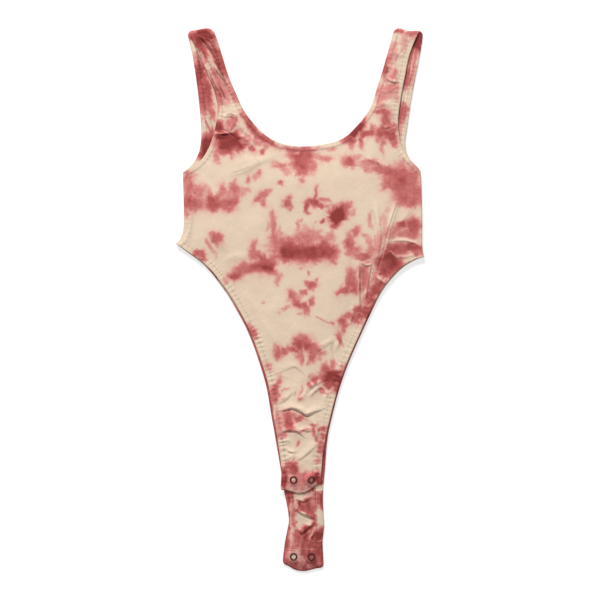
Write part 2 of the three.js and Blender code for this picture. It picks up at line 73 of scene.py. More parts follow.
# ------------------------------------------------------------------ outlines
F_NECK = [
    (-106.75, 333.12), (-103.75, 326.25), (-100.5, 316.25), (-96.5, 303.12), (-89, 279),
    (-79.5, 256.75), (-70, 236.62), (-56.75, 218.75), (-41.25, 204.25), (-23.25, 195.25),
    (-5.38, 192), (10, 191.75), (25.87, 193.5), (43.75, 197.5), (57.75, 204.25), (70.5, 216.5),
    (81.75, 230), (90, 244.38), (96.25, 265.62), (102.88, 285.75), (108.5, 305.75),
    (113, 321.38), (116, 333.12),
]
F_ARM_L = [
    (-137.5, 330), (-131.88, 318.75), (-127, 307.5), (-121, 294.38), (-113.5, 277.5),
    (-106.75, 260), (-102.75, 241.25), (-103.75, 225), (-107.75, 207.5), (-113.25, 191.25),
    (-121.25, 177.5), (-132.5, 167), (-146.25, 159.62),
]
F_ARM_R = [
    (146.75, 330.62), (142, 320.62), (135.75, 302.5), (131, 279), (127, 258.75), (124, 240),
    (122.5, 225), (123, 211.25), (125.5, 196.25), (131, 183.75), (138.25, 174.5),
    (145.75, 166.75), (150.5, 160.75),
]
F_SIDE_L = [
    (-146.25, 159.62), (-145.75, 143.75), (-145.25, 127.5), (-145, 106.25), (-145.5, 88.75),
    (-149.25, 76.88), (-155, 70),
]
F_SIDE_R = [
    (150.5, 160.75), (151.25, 150), (152, 127.5), (152.63, 98.75), (152.5, 77.5), (153, 63.75),
    (155, 53.75),
]
F_LEG_L = [
    (-155, 70), (-141.5, 61.25), (-123.75, 48.75), (-110.25, 36.25), (-99.13, 22.25),
    (-87.75, 6.5), (-76.5, -12.12), (-65.87, -31.88), (-57.25, -51.88), (-50.62, -70),
    (-44.75, -87.5), (-39.75, -105), (-36.5, -123.75), (-33.5, -143.12), (-30, -162.5),
    (-26.5, -183.75), (-24.25, -200), (-23.5, -212.5), (-23.5, -223.75), (-24.25, -233.75),
]
F_LEG_R = [
    (155, 53.75), (144.25, 50.87), (135, 46.5), (125, 39.5), (114.5, 29), (104.5, 16.75),
    (97.37, 5.5), (90.38, -8), (81.75, -26.25), (73, -45.62), (65, -63.5), (58, -80),
    (51.75, -97.5), (46.25, -114.38), (41.63, -131.25), (37, -149.5), (33.25, -165),
    (30.5, -180), (28.25, -195), (27, -210), (26.25, -220), (25.75, -227.5),
]
F_TAB_END = [
    (-24.25, -233.75), (-23, -237), (-18.25, -236.5), (-11.5, -238.62), (-2.5, -240.75),
    (6, -239.62), (12.75, -236), (19.13, -230.75), (25.75, -227.5),
]
B_NECK = [
    (-109.38, 331.88), (-106.88, 322.5), (-103.5, 308.75), (-99, 290), (-92, 267.5),
    (-83.12, 246.25), (-73.75, 226.25), (-61.25, 206.88), (-45.62, 191.25), (-26.25, 180.62),
    (-5.62, 176.25), (10.62, 176), (28.12, 178.5), (46.25, 185), (62.5, 196.25), (76.25, 211.88),
    (86.88, 228.12), (95.25, 246.25), (101.5, 266.25), (107.75, 286.88), (113.25, 306.88),
    (118, 322.5), (121, 331.88),
]
B_ARM_L = [
    (-140.5, 330.62), (-138, 321.25), (-133.88, 302.5), (-130.12, 279), (-126.88, 253.75),
    (-124.38, 227.5), (-123.25, 205), (-125.5, 187.5), (-130.75, 175), (-137.5, 166.25),
    (-146.25, 159.62),
]
B_ARM_R = [
    (153.25, 329.38), (152, 318.75), (147.75, 294.62), (142.25, 267.5), (137.75, 241.25),
    (134.25, 216.25), (131.75, 198.75), (133, 186.25), (137.75, 175.75), (144.25, 167.25),
    (150.5, 160.75),
]
B_LEG_L = [
    (-155, 70), (-142, 60.38), (-124.5, 47.5), (-111.25, 34.75), (-100.38, 20.5), (-89.25, 4.75),
    (-78.25, -14), (-67.75, -33.75), (-59.25, -53.75), (-52.88, -71.88), (-47.25, -89.38),
    (-42.37, -106.88), (-38.88, -125), (-35.75, -144.38), (-32.25, -163.75), (-28.75, -184.38),
    (-25.75, -201.25), (-23, -218.75), (-20.5, -235), (-17.88, -249), (-15.25, -262),
    (-14, -276.25), (-16.38, -290), (-19, -303.75), (-20.5, -315.62), (-21.5, -325.62),
]
B_LEG_R = [
    (155, 53.75), (144.87, 50.13), (135.88, 45.38), (126.12, 38.25), (115.75, 27.75),
    (105.87, 15.5), (98.88, 4.25), (92, -9.25), (83.37, -27.5), (74.62, -46.75), (66.63, -64.5),
    (59.75, -81), (53.37, -98.5), (47.88, -115.38), (43.37, -132.25), (39, -150.25),
    (35.62, -165.75), (33.62, -180.62), (32.25, -196), (31.25, -211), (30, -223.75),
    (29, -236.25), (28.75, -251.25), (29.62, -268.75), (30.25, -281.88), (29.13, -292.5),
    (28.25, -303.12), (28.75, -315), (29.38, -327.5),
]
B_TAIL_END = [
    (-21.5, -325.62), (-20, -329.75), (-14, -332.75), (-7.63, -336.5), (-1, -338.5),
    (6.38, -338.75), (14, -337.13), (20.62, -335.37), (26.5, -334.5), (29.13, -332.25),
    (29.38, -327.5),
]

STRAP_FOLD_Y = 225.0
TAB_FOLD_Y = -177.5
TAIL_FOLD_Y = -271.875
FRONT_SNAPS = [(-8.0, -224.0), (14.0, -224.0)]
TILT, TILT_SLOPE, TILT_RISE = (0.86, -0.51), 0.62, 1.5
BACK_SNAPS = [(-8.0, -319.75), (14.0, -319.75)]


# ------------------------------------------------------------------ noise
def _hash(ix, iy, seed):
    h = (ix * 374761393 + iy * 668265263 + seed * 974634777) & 0xFFFFFFFF
    h = ((h ^ (h >> 13)) * 1274126177) & 0xFFFFFFFF
    return ((h ^ (h >> 16)) & 0xFFFFF) / 1048575.0


def noise(x, y, scale, seed=0):
    """Smooth noise in -1..1 with features of about that size."""
    u, v = np.asarray(x, float) / scale + 517.3, np.asarray(y, float) / scale + 291.7
    iu, iv = np.floor(u).astype(np.int64), np.floor(v).astype(np.int64)
    fu, fv = u - iu, v - iv
    fu = fu * fu * fu * (fu * (fu * 6 - 15) + 10)
    fv = fv * fv * fv * (fv * (fv * 6 - 15) + 10)
    a, b = _hash(iu, iv, seed), _hash(iu + 1, iv, seed)
    c, d = _hash(iu, iv + 1, seed), _hash(iu + 1, iv + 1, seed)
    return 2 * ((a * (1 - fu) + b * fu) * (1 - fv) + (c * (1 - fu) + d * fu) * fv) - 1


def fbm(x, y, scale, octaves=3, seed=0):
    total, amp = 0, 1.0
    for k in range(octaves):
        total = total + amp * noise(x, y, scale / 2**k, seed + 17 * k)
        amp *= 0.5
    return total / 1.75


def smoothstep(a, b, x):
    t = np.clip((np.asarray(x, float) - a) / (b - a), 0, 1)
    return t * t * (3 - 2 * t)


# ------------------------------------------------------------------ curves
def spline(points, spacing):
    """Evenly spaced points on a smooth curve through the given ones."""
    p = np.array(points, float)
    p = np.vstack([2 * p[0] - p[1], p, 2 * p[-1] - p[-2]])
    out = []
    for i in range(1, len(p) - 2):
        t = np.linspace(0, 1, 24, endpoint=False)[:, None]
        a, b, c, d = p[i - 1], p[i], p[i + 1], p[i + 2]
        out.append(
            0.5
            * (
                2 * b
                + (c - a) * t
                + (2 * a - 5 * b + 4 * c - d) * t**2
                + (3 * b - a - 3 * c + d) * t**3
            )
        )
    line = np.vstack(out + [p[-2][None]])
    return respace(line, spacing)


def respace(line, spacing):
    step = np.linalg.norm(np.diff(line, axis=0), axis=1)
    s = np.concatenate([[0], np.cumsum(step)])
    n = max(2, int(round(s[-1] / spacing)) + 1)
    t = np.linspace(0, s[-1], n)
    return np.column_stack([np.interp(t, s, line[:, k]) for k in range(line.shape[1])])


def normals2(line, side):
    """Unit normals into the cloth. side is +1 where the cloth is left of the direction of travel."""
    t = np.gradient(line, axis=0)
    t /= np.linalg.norm(t, axis=1)[:, None]
    return np.column_stack([-t[:, 1], t[:, 0]]) * side


class Edges:
    """The edges of one layer of cloth: how far a point is from the nearest, and how far along it."""

    def __init__(self, table):
        self.curves = {}
        xy, arc, kind, normal = [], [], [], []
        offset = 0.0
        for name, (points, side, k) in table.items():
            line = spline(points, 0.4)
            self.curves[name] = (line, side, k)
            n = normals2(line, side)
            step = np.linalg.norm(np.diff(line, axis=0), axis=1)
            s = np.concatenate([[0], np.cumsum(step)]) + offset
            offset = s[-1] + 40
            xy.append(line), arc.append(s), normal.append(n), kind.append(np.full(len(s), k))
        self.xy, self.arc = np.vstack(xy), np.concatenate(arc)
        self.normal, self.kind = np.vstack(normal), np.concatenate(kind)
        self.tree = KDTree(len(self.xy))
        for i, (x, y) in enumerate(self.xy):
            self.tree.insert((x, y, 0), i)
        self.tree.balance()

    def look(self, pts):
        index = np.fromiter((self.tree.find((x, y, 0))[1] for x, y in pts), int, len(pts))
        rel = pts - self.xy[index]
        n = self.normal[index]
        across = (rel * n).sum(1)
        along = rel[:, 0] * n[:, 1] - rel[:, 1] * n[:, 0]
        dist = np.hypot(rel[:, 0], rel[:, 1])
        d = np.where(np.abs(along) < 0.5, np.abs(across), dist)
        d[dist < 1e-6] = 0
        return d, self.arc[index], self.kind[index]


HEM, SIDE, END = 0, 1, 2
front_edges = Edges(
    {
        "neck": (F_NECK, -1, HEM),
        "arm_l": (F_ARM_L, 1, HEM),
        "arm_r": (F_ARM_R, -1, HEM),
        "side_l": (F_SIDE_L, 1, SIDE),
        "side_r": (F_SIDE_R, -1, SIDE),
        "leg_l": (F_LEG_L, 1, HEM),
        "leg_r": (F_LEG_R, -1, HEM),
        "end": (F_TAB_END, 1, END),
    }
)
back_edges = Edges(
    {
        "neck": (B_NECK, -1, HEM),
        "arm_l": (B_ARM_L, 1, HEM),
        "arm_r": (B_ARM_R, -1, HEM),
        "side_l": (F_SIDE_L, 1, SIDE),
        "side_r": (F_SIDE_R, -1, SIDE),
        "leg_l": (B_LEG_L, 1, HEM),
        "leg_r": (B_LEG_R, -1, HEM),
        "end": (B_TAIL_END, 1, END),
    }
)


def x_at(line, y):
    """x of a curve at each height y, run on straight past its ends. The curve is steep there."""
    order = np.argsort(line[:, 1])
    ys, xs = line[order, 1], line[order, 0]
    x = np.interp(y, ys, xs)
    k = 12
    hi = (xs[-1] - xs[-1 - k]) / (ys[-1] - ys[-1 - k])
    return np.where(y > ys[-1], xs[-1] + (y - ys[-1]) * hi, x)


# ------------------------------------------------------------------ folds and creases
# Pattern units: 1 unit is 1.25 mm, from the top left corner of a 600 by 600 square centred on the
# garment, with v downwards.
def to_mm(uv):
    return [((u - 300) * 1.25, (300 - v) * 1.25) for u, v in uv]


# (points, height mm, width on the left of travel mm, width on the right mm)
FRONT_CREASES = [
    # across the narrow part, above the tab
    ([(281, 410.5), (286, 408.8), (291, 407.2), (297, 408.2), (302, 411), (306, 413.6), (314, 411), (323, 408.6)], 1.7, 5.5, 1.1),
    ([(281, 431), (290, 429.4), (297, 430.5), (304, 436.5)], 1.5, 5, 1.0),
    ([(300, 429.2), (312, 430.6)], 1.1, 3.5, 0.9),
    ([(286, 449), (290, 451), (295, 451.5)], 0.9, 3, 1.2),
    ([(297, 460), (305, 454), (313, 447), (318, 442)], 0.8, 5, 1.8),
    ([(276, 373), (286, 369), (296, 366.5), (305, 374)], 0.55, 5, 1.5),
    ([(308, 388), (313, 384), (320, 381)], 1.5, 2.0, 5),
    ([(309, 396), (314, 391), (319, 386)], 0.9, 2, 4),
    ([(297, 400), (301, 397), (306, 392)], 0.7, 2, 4),
    ([(279, 402), (285, 398), (292, 392)], 0.7, 3, 3),
    ([(306, 374), (308, 384), (305, 392)], 0.5, 3, 3),
    ([(312, 352), (322, 345), (335, 338)], 0.55, 3, 5),
    ([(333, 341), (334, 352), (337, 365)], -0.9, 2.4, 2.4),
    ([(339, 340), (336, 350)], 0.8, 2, 3),
    ([(327, 404), (325, 399), (326, 394)], 0.8, 2.5, 2.5),
    ([(313, 420), (317, 428), (315, 440)], 0.8, 3, 3),
    ([(283, 442), (287, 440), (291, 441)], 0.6, 3, 2),
    ([(284, 458), (290, 456), (296, 452)], 0.6, 3, 3),
    # upright folds by the right side
    ([(376, 205), (378.5, 225), (379, 243), (376, 262)], 1.3, 2.0, 4.0),
    ([(372, 213), (375, 230), (376, 244)], -0.8, 2.2, 2.2),
    ([(397, 197), (391, 222), (386, 243), (381, 262)], 1.2, 3.5, 2.2),
    ([(358, 262), (358.5, 285), (359, 310)], 1.3, 1.8, 2.2),
    ([(364, 264), (365, 285), (363, 300)], -0.7, 2.4, 2.4),
    ([(371, 266), (369, 282), (366, 298)], 1.0, 1.8, 2.6),
    ([(353, 304), (352, 315), (350, 326)], 0.7, 2, 2),
    ([(338, 296), (345, 292), (356, 288)], 0.4, 3, 3),
    ([(388, 243), (400, 240.5), (412, 242), (422, 247)], 0.6, 1.6, 2.6),
    ([(383, 258), (390, 252.5), (398, 257), (410, 256), (420, 252)], 0.55, 1.6, 2.2),
    ([(376, 277), (381, 281), (387, 284)], 0.9, 1.5, 2.2),
    ([(360, 262), (366, 265), (371, 264)], 0.7, 1.4, 1.8),
    ([(371, 300), (378, 296), (384, 290)], 0.6, 1.5, 2.0),
    ([(366, 318), (372, 311), (377, 305)], 0.6, 1.5, 2.0),
    ([(401, 225), (407, 214), (411, 200)], 0.5, 4, 4),
    # by the left side
    ([(203, 186), (196, 196), (190.5, 205), (189.5, 222), (187, 236), (181, 244)], 1.3, 4.5, 1.2),
    ([(196, 200), (199, 210)], 0.5, 2.5, 2.5),
    ([(186, 206), (188, 190), (192, 178)], 0.5, 3.5, 3.5),
    ([(198, 257), (201, 259.5), (204, 258.5)], 0.9, 1.6, 1.6),
    ([(214, 236), (222, 244), (226, 252)], 0.35, 4, 4),
    ([(224, 263), (232, 257), (246, 256)], 0.4, 4, 5),
    # chest
    ([(224, 117.5), (230, 116.4), (237, 117.6)], 1.0, 2.4, 1.2),
    ([(214, 134), (222, 134.4), (230, 133)], 1.3, 1.4, 2.4),
    ([(229, 131), (233, 127), (236, 120)], 0.9, 1.8, 3.0),
    ([(212, 139), (220, 140), (228, 139.5)], -0.7, 2.5, 2.0),
    ([(232, 141), (240, 138), (248, 141), (254, 146)], 0.7, 3.5, 1.6),
    ([(229, 175), (243, 171), (258, 163), (272, 158)], 0.8, 6, 4),
    ([(232, 168), (246, 161), (256, 160)], 0.4, 5, 5),
    ([(206, 164), (210, 170), (212, 178)], 0.5, 4, 4),
    ([(367, 159), (376, 163), (386, 168)], 0.6, 3, 4),
    ([(385, 127), (391, 128), (396, 131)], 0.7, 1.6, 2.2),
    ([(395, 150), (401, 156), (408, 163)], 0.5, 3, 3),
    ([(330, 160), (336, 175), (345, 190)], 0.35, 9, 9),
    ([(251, 190), (262, 184), (276, 180)], 0.3, 8, 8),
    ([(243, 232), (256, 226), (270, 224)], 0.3, 9, 7),
    ([(262, 320), (270, 332), (276, 344)], 0.5, 5, 5),
    ([(291, 325), (300, 331), (306, 340)], 0.35, 6, 6),
    ([(276, 296), (278, 305), (274, 314)], 0.35, 6, 6),
    ([(246, 291), (251, 302), (257, 312)], 0.5, 4, 6),
    ([(318, 300), (316, 312), (322, 326)], 0.3, 8, 8),
    # left strap
    ([(190.5, 38), (195, 45), (199.5, 56), (202, 66)], 1.4, 1.2, 2.6),
    ([(203, 60), (207, 74), (212, 88), (216, 108)], 1.5, 1.4, 2.8),
    ([(206, 52), (213, 64), (219, 74), (226, 84)], 1.1, 1.4, 3.0),
    ([(212, 78), (218, 88), (224, 97)], 0.8, 1.6, 2.4),
    ([(217, 66), (223, 76), (229, 88)], 0.8, 2, 3),
    ([(208, 34), (210, 42), (214, 52)], 0.8, 2, 2.4),
    ([(196, 36), (202, 39), (208, 46)], 0.8, 1.6, 2.4),
    ([(213, 95), (221, 100), (227, 106)], 0.5, 2.4, 2.4),
    # right strap
    ([(386, 78), (391, 82), (397, 83)], 0.9, 2.2, 1.2),
    ([(381, 76), (386, 71), (391, 62)], 0.7, 2, 3),
    ([(381, 93), (388, 92), (395, 88)], 0.5, 3, 2),
    ([(393, 52), (399, 56), (404, 52)], 0.4, 3, 3),
    ([(378, 107), (385, 104), (392, 108)], 0.4, 3, 3),
]
BACK_CREASES = [
    # inside the tail
    ([(297, 498.5), (303, 500.5), (310, 498)], 1.1, 3.2, 0.9),
    ([(293.5, 500), (296, 505), (300, 508)], 0.9, 2.4, 2.4),
    ([(294.5, 508), (301, 512), (308, 515), (315, 518)], 1.7, 3.4, 0.9),
    ([(295.5, 524), (301, 531.5), (308, 526.5), (315, 521.5)], 1.6, 3.6, 0.9),
    ([(304, 536), (309, 532), (313, 528)], 0.8, 1.8, 2.4),
    ([(310, 538), (313, 533), (315, 529)], 0.6, 1.6, 1.6),
    ([(305, 538), (313, 540), (322, 541)], 0.6, 2.0, 1.2),
    ([(309, 543), (316, 546), (322, 546.5)], 0.5, 2.0, 1.4),
    ([(298, 560), (304, 566), (306, 572)], 0.5, 2.2, 2.2),
    # straps, inside
    ([(200.6, 80), (203.4, 98), (207.4, 117), (212.4, 135)], 0.95, 1.0, 1.6),
    ([(203.5, 76), (208.2, 91), (213.4, 107)], 0.95, 0.9, 1.6),
    ([(206.6, 99), (209.4, 112), (211.6, 124)], 0.7, 0.9, 1.4),
    ([(194.6, 48), (198.6, 62), (201, 76)], 0.8, 0.9, 1.6),
    ([(412.6, 44), (409.6, 62), (407, 84)], 0.8, 1.4, 1.0),
    ([(404.6, 88), (402, 104), (398.6, 122)], 0.7, 1.4, 1.0),
    ([(405, 60), (409, 75), (407, 92)], 0.6, 2.5, 2.5),
    ([(206, 130), (209, 140), (206, 152)], 0.6, 2.5, 2.5),
]


# Sharp folds: (points, depth mm). The cloth is pinched along them.
FRONT_FOLDS = [
    # left strap
    ([(199.4, 38), (204, 42.6), (209, 48.6), (214, 57)], 1.2),
    ([(203.6, 53), (207.4, 62), (212.6, 72), (217.5, 81)], 1.3),
    ([(208, 70), (212.6, 80), (217, 90), (219.5, 99)], 1.1),
    ([(213.5, 60), (218.6, 68.5), (223, 79), (227.6, 90)], 1.0),
    ([(218, 84), (222.5, 92), (226, 101)], 0.9),
    ([(207, 40), (211, 43.6), (214.6, 50)], 0.9),
    ([(213, 106), (214, 114), (213, 122)], 0.9),
    ([(219, 128), (226, 131.4), (233, 136), (239, 141)], 0.9),
    ([(239, 128), (243, 133), (248, 138)], 0.7),
    ([(202.8, 65), (206.6, 77.3), (211.2, 91.2), (214.6, 102), (215.4, 111)], 1.3),
    ([(204, 44), (207.4, 48), (213, 55.5), (217.6, 63.5), (222.8, 75.8), (228, 88)], 1.3),
    ([(215, 69.6), (220.5, 77.3), (226.6, 85)], 1.1),
    ([(202, 41), (206, 44.5), (210.5, 50)], 1.0),
    ([(209, 79), (212.8, 86.5), (215.5, 95.8)], 0.9),
    ([(218, 94), (221.5, 99), (223, 108)], 0.9),
    ([(205.5, 57), (209, 66), (214.5, 76.5)], 1.0),
    ([(197, 47), (200.6, 55.5), (203, 62)], 1.0),
    ([(210, 38), (214, 46), (218.5, 56)], 0.8),
    ([(197.4, 34.2), (204, 33.4), (212.8, 35.8)], 0.6),
    ([(205, 36.5), (208, 38.6), (211, 40.4)], 0.6),
    # left chest
    ([(225.8, 116.2), (231, 115.4), (236.6, 117.3)], 1.0),
    ([(231.2, 132.7), (235, 125), (237.4, 118.8)], 0.7),
    ([(214.6, 135), (222, 135.6), (229.7, 135.4)], 1.1),
    ([(240, 139), (246, 138.2), (251, 135.4)], 0.7),
    ([(243, 145.4), (250, 146.5), (255, 149)], 0.6),
    ([(230, 174.6), (243, 170.8), (252, 167)], 0.5),
    ([(253.4, 158), (258, 162), (261, 168)], 0.4),
    # right strap and chest
    ([(389.5, 60), (386, 72), (381.8, 83)], 0.8),
    ([(384.5, 79.6), (388.6, 82.6), (395, 83.8), (399.6, 82)], 0.8),
    ([(391, 88), (396, 84), (399, 76)], 0.7),
    ([(404, 50), (398, 57), (395, 66)], 0.6),
    ([(383, 131.6), (388, 129.6), (393, 127), (397.4, 126)], 0.6),
    ([(366, 160), (376, 165), (383, 170)], 0.6),
    ([(377, 110), (384, 107.4), (390, 110.6)], 0.6),
    ([(350, 145), (358, 141), (366, 138)], 0.5),
    # right hip
    ([(396.5, 204), (390.4, 222.7), (386.5, 235), (382.7, 252), (378, 267), (376.5, 275)], 0.9),
    ([(366.5, 302.7), (368, 287), (371, 269), (372, 261)], 1.0),
    ([(360.4, 309), (360.2, 287), (359.6, 266)], 0.8),
    ([(376, 232), (374.2, 216.5), (370.4, 208.8)], 0.5),
    ([(351, 312), (352, 319), (352, 325.8)], 0.7),
    ([(388, 243.4), (398, 242), (410, 243.6), (420, 247.6)], 0.55),
    ([(384, 250.6), (391, 254.6), (398, 259), (407, 259)], 0.6),
    ([(375, 278.6), (380, 281.6), (386, 286)], 0.6),
    ([(360, 264), (366, 267), (371, 266)], 0.6),
    ([(341, 330), (342, 338), (340.4, 346)], 0.6),
    ([(366, 311), (371, 306), (377, 300)], 0.6),
    ([(369, 316), (374, 311), (379, 305)], 0.6),
    # left hip
    ([(202, 186), (195.5, 196), (190, 206), (188.8, 222), (186.4, 236)], 0.8),
    ([(198, 259), (201.6, 261.4), (205, 259.6)], 0.8),
    # narrow part
    ([(281.7, 412.2), (287, 410.2), (293, 409.4), (300, 412.6), (306.7, 416), (314, 413.6)], 0.86),
    ([(281, 433), (290, 431), (297, 432), (304, 437.5)], 0.8),
    ([(277, 370.6), (286, 368.4), (294, 367.2), (300, 372.5)], 0.32),
    ([(310, 390.4), (314, 386.8), (320, 383.6)], 0.66),
    ([(311, 397), (317, 391.4), (322, 388)], 0.7),
    ([(281, 404), (287, 400), (294, 393)], 0.5),
    ([(299, 461), (306, 456.4), (313, 450.4)], 0.34),
    ([(287, 451), (291, 453), (297, 453)], 0.6),
    ([(315, 354), (324, 348.4), (333, 342)], 0.36),
    ([(331, 342), (332, 352), (334, 362)], 0.4),
    ([(316, 420), (319, 428), (317, 440)], 0.6),
    ([(302, 345), (304, 356), (303, 366)], 0.4),
    ([(294, 415), (298, 421), (300, 430)], 0.4),
]
BACK_FOLDS = [
    ([(206.6, 111), (211.2, 123.5), (214, 134)], 0.5),
    ([(203, 100), (207, 112), (209, 124)], 0.45),
    ([(410, 60), (408, 78), (404, 96)], 0.5),
    ([(297, 500.6), (303, 502.4), (310, 500)], 0.8),
    ([(295, 511), (301, 515), (308, 518), (315, 520.6)], 1.0),
    ([(296, 527.6), (301, 534.4), (308, 529), (315, 524)], 1.1),
    ([(304, 539), (309, 535), (314, 531)], 0.7),
    ([(310, 541), (313.6, 536), (316, 531)], 0.6),
    ([(298, 536), (299, 543), (298, 548)], 0.5),
    ([(306, 541), (313, 543), (321, 543)], 0.5),
    ([(297, 506), (300, 510), (305, 512)], 0.6),
    ([(311, 487), (313, 495), (312, 503)], 0.6),
    ([(305, 489), (305, 494), (302, 498)], 0.5),
    ([(322, 560), (318, 566), (313, 570)], 0.4),
]


def fold_lines(folds):
    return [(spline(to_mm(uv), 0.5), depth) for uv, depth in folds]


FRONT_FOLD_LINES, BACK_FOLD_LINES = fold_lines(FRONT_FOLDS), fold_lines(BACK_FOLDS)


def fold_depth(pts, lines, width=0.95):
    """How deep the fold presses in at each point, 0 away from the folds."""
    total = np.zeros(len(pts))
    for line, depth in lines:
        lo, hi = line.min(0) - 4, line.max(0) + 4
        near = np.nonzero(((pts > lo) & (pts < hi)).all(1))[0]
        if not len(near):
            continue
        rel = pts[near][:, None] - line[None]
        dist = np.hypot(rel[..., 0], rel[..., 1])
        k = dist.argmin(1)
        t = k / (len(line) - 1)
        taper = np.clip(4.5 * np.minimum(t, 1 - t), 0.05, 1) * (1 + 0.35 * noise(t * 9, 0 * t + depth, 1, 5))
        wide = width if depth >= 0.85 else 1.5 * width
        depth_here = 1.25 * depth if depth >= 0.85 else 0.62 * depth
        total[near] = np.maximum(total[near], depth_here * taper * np.exp(-((dist.min(1) / wide) ** 2)))
    return total


def near_folds(pts, creases, lines, reach=3.2):
    xy = np.vstack([spline(to_mm(c[0]), 1.0) for c in creases] + [line[::2] for line, _ in lines])
    tree = KDTree(len(xy))
    for i, (x, y) in enumerate(xy):
        tree.insert((x, y, 0), i)
    tree.balance()
    return np.fromiter((tree.find((x, y, 0))[2] < reach for x, y in pts), bool, len(pts))


def crease_height(pts, creases):
    z = np.zeros(len(pts))
    for uv, height, wl, wr in creases:
        line = spline(to_mm(uv), 0.7)
        reach = 2.6 * max(wl, wr)
        lo, hi = line.min(0) - reach, line.max(0) + reach
        near = np.nonzero(((pts > lo) & (pts < hi)).all(1))[0]
        if not len(near):
            continue
        p = pts[near]
        rel = p[:, None] - line[None]
        dist = np.hypot(rel[..., 0], rel[..., 1])
        k = dist.argmin(1)
        n = normals2(line, 1)
        row = np.arange(len(p))
        side = (rel[row, k] * n[k]).sum(1)
        d = dist[row, k]
        w = np.where(side > 0, wl, wr)
        t = k / (len(line) - 1)
        taper = np.sqrt(np.clip(np.sin(np.pi * np.clip(t, 0.02, 0.98)), 0, 1))
        z[near] += 1.45 * height * taper * np.exp(-((d / w) ** 2))
    return z


# ------------------------------------------------------------------ heights
def hem_width(y, back):
    """The hems are 6.6 mm wide, and 10.4 mm along the back tail."""
    wide = smoothstep(-150, -215, y) if back else 0 * y
    return 6.6 + 3.8 * wide


def gather(d, s, kind, y, seed, back):
    """The puckers that the elastic and its stitching pull into a hem and the cloth beside it."""
    width = hem_width(y, back)
    s2 = s + 1.1 * noise(s, d * 0.6, 7, seed + 3)
    wave = np.sin(2 * np.pi * s2 / 5.5 + 2.6 * noise(s, d * 0.3, 14, seed))
    fine = np.sin(2 * np.pi * s2 / 2.9 + 2.0 * noise(s, d * 0.5, 9, seed + 5))
    amount = 0.55 + 0.45 * noise(s, 0 * s, 23, seed + 9)
    band = smoothstep(0.2, 2.2, d) * (1 - smoothstep(width - 1.2, width + 0.4, d))
    seam = np.exp(-(((d - width) / 1.4) ** 2))
    beside = np.clip(1 - np.abs(d - width - 2.0) / 7.0, 0, 1) ** 2
    h = 0.42 * wave * band + 0.16 * fine * band + 0.46 * wave * seam + 0.36 * wave * beside
    # the necklines lie almost flat, and the legs' long edges pull in the most
    low = smoothstep(-10, -60, y)
    pull = np.where(y > 150, 0.42, 0.62 + 0.75 * low - 0.35 * smoothstep(-105, -150, y))
    if back:
        pull = pull * (1 - 0.75 * smoothstep(-236, -262, y))
    return np.where(kind == HEM, h * amount * pull, 0.2 * h * amount)


def stitch_groove(d, kind, y, back):
    width = hem_width(y, back)
    g = -0.6 * np.exp(-(((d - width + 0.5) / 0.6) ** 2))
    return np.where(kind == HEM, g, 0)


def thickness(d, kind, y, back):
    width = hem_width(y, back)
    hem = 1.0 - smoothstep(width - 0.4, width + 0.9, d)
    full = np.where(kind == HEM, 1.0 + 0.75 * hem, np.where(kind == END, 1.0 + 0.6 * hem, 1.0))
    r = 0.85
    c = np.clip(d / r, 0, 1)
    return full * np.sqrt(np.clip(1 - (1 - c) ** 2, 0, 1))


def front_mid(pts, look):
    d, s, kind = look
    x, y = pts[:, 0], pts[:, 1]
    tab = smoothstep(-90, -178, y)
    strap = smoothstep(190, 232, y)
    z_in = 6.1 - 0.9 * tab - 1.4 * strap
    z_edge = 3.5 + 0.7 * tab
    reach = 52 - 34 * tab - 36 * strap
    z = z_edge + (z_in - z_edge) * smoothstep(0, 1, d / reach)
    # the sides turn down to their seam, the free end of the tab curls a little
    fall = np.where(kind == SIDE, np.sqrt(np.clip(1 - (1 - np.clip(d / 3.2, 0, 1)) ** 2, 0, 1)), 1)
    z = np.where(kind == SIDE, 2.75 + (z - 2.75) * fall, z)
    # under each ring the tab is pressed flat, at the height of the snap
    near = np.zeros(len(pts))
    for cx, cy in FRONT_SNAPS:
        near = np.maximum(near, 1 - smoothstep(5.0, 9.0, np.hypot(x - cx, y - cy)))
    # the right one stands on the flank of a fold that falls away to the lower right
    cx, cy = FRONT_SNAPS[1]
    across = np.clip((x - cx) * TILT[0] + (y - cy) * TILT[1], -6.5, 6.5)
    flank = (TILT_RISE - TILT_SLOPE * across) * (1 - smoothstep(4.6, 9.5, np.hypot(x - cx, y - cy)))
    rough = 0.55 + 0.9 * smoothstep(-60, -110, y) + 0.45 * strap
    soft = (1 - 0.75 * np.exp(-((d / 3.0) ** 2))) * np.where(kind == SIDE, smoothstep(0, 9, d), 1)
    w = 0.8 * fbm(x, y, 62, 2, 1) + 0.62 * rough * fbm(x, y, 24, 3, 2)
    w += 0.22 * rough * fbm(x + 0.4 * y, y, 8, 2, 3)
    w += crease_height(pts, FRONT_CREASES) * (1 - 0.6 * np.exp(-((d / 2.0) ** 2)))
    w -= fold_depth(pts, FRONT_FOLD_LINES)
    z = z + w * soft * (1 - near) + gather(d, s, kind, y, 11, False) * (1 - near)
    z = z + 0.55 * stitch_groove(d, kind, y, False) * (1 - near)
    # a flat ledge where the hem's turned edge ends
    z = z * (1 - near) + 5.45 * near + flank
    for cx, cy in FRONT_SNAPS:
        z = z + 0.45 * (1 - smoothstep(0.6, 2.6, np.hypot(x - cx, y - cy)))
    # the tab's free end droops
    droop = smoothstep(-229, -241, y) * (1 - near)
    z = z - 1.1 * droop
    z = z + 1.2 * np.exp(-(((x + 21) / 5) ** 2) - (((y + 236) / 5) ** 2))
    return z


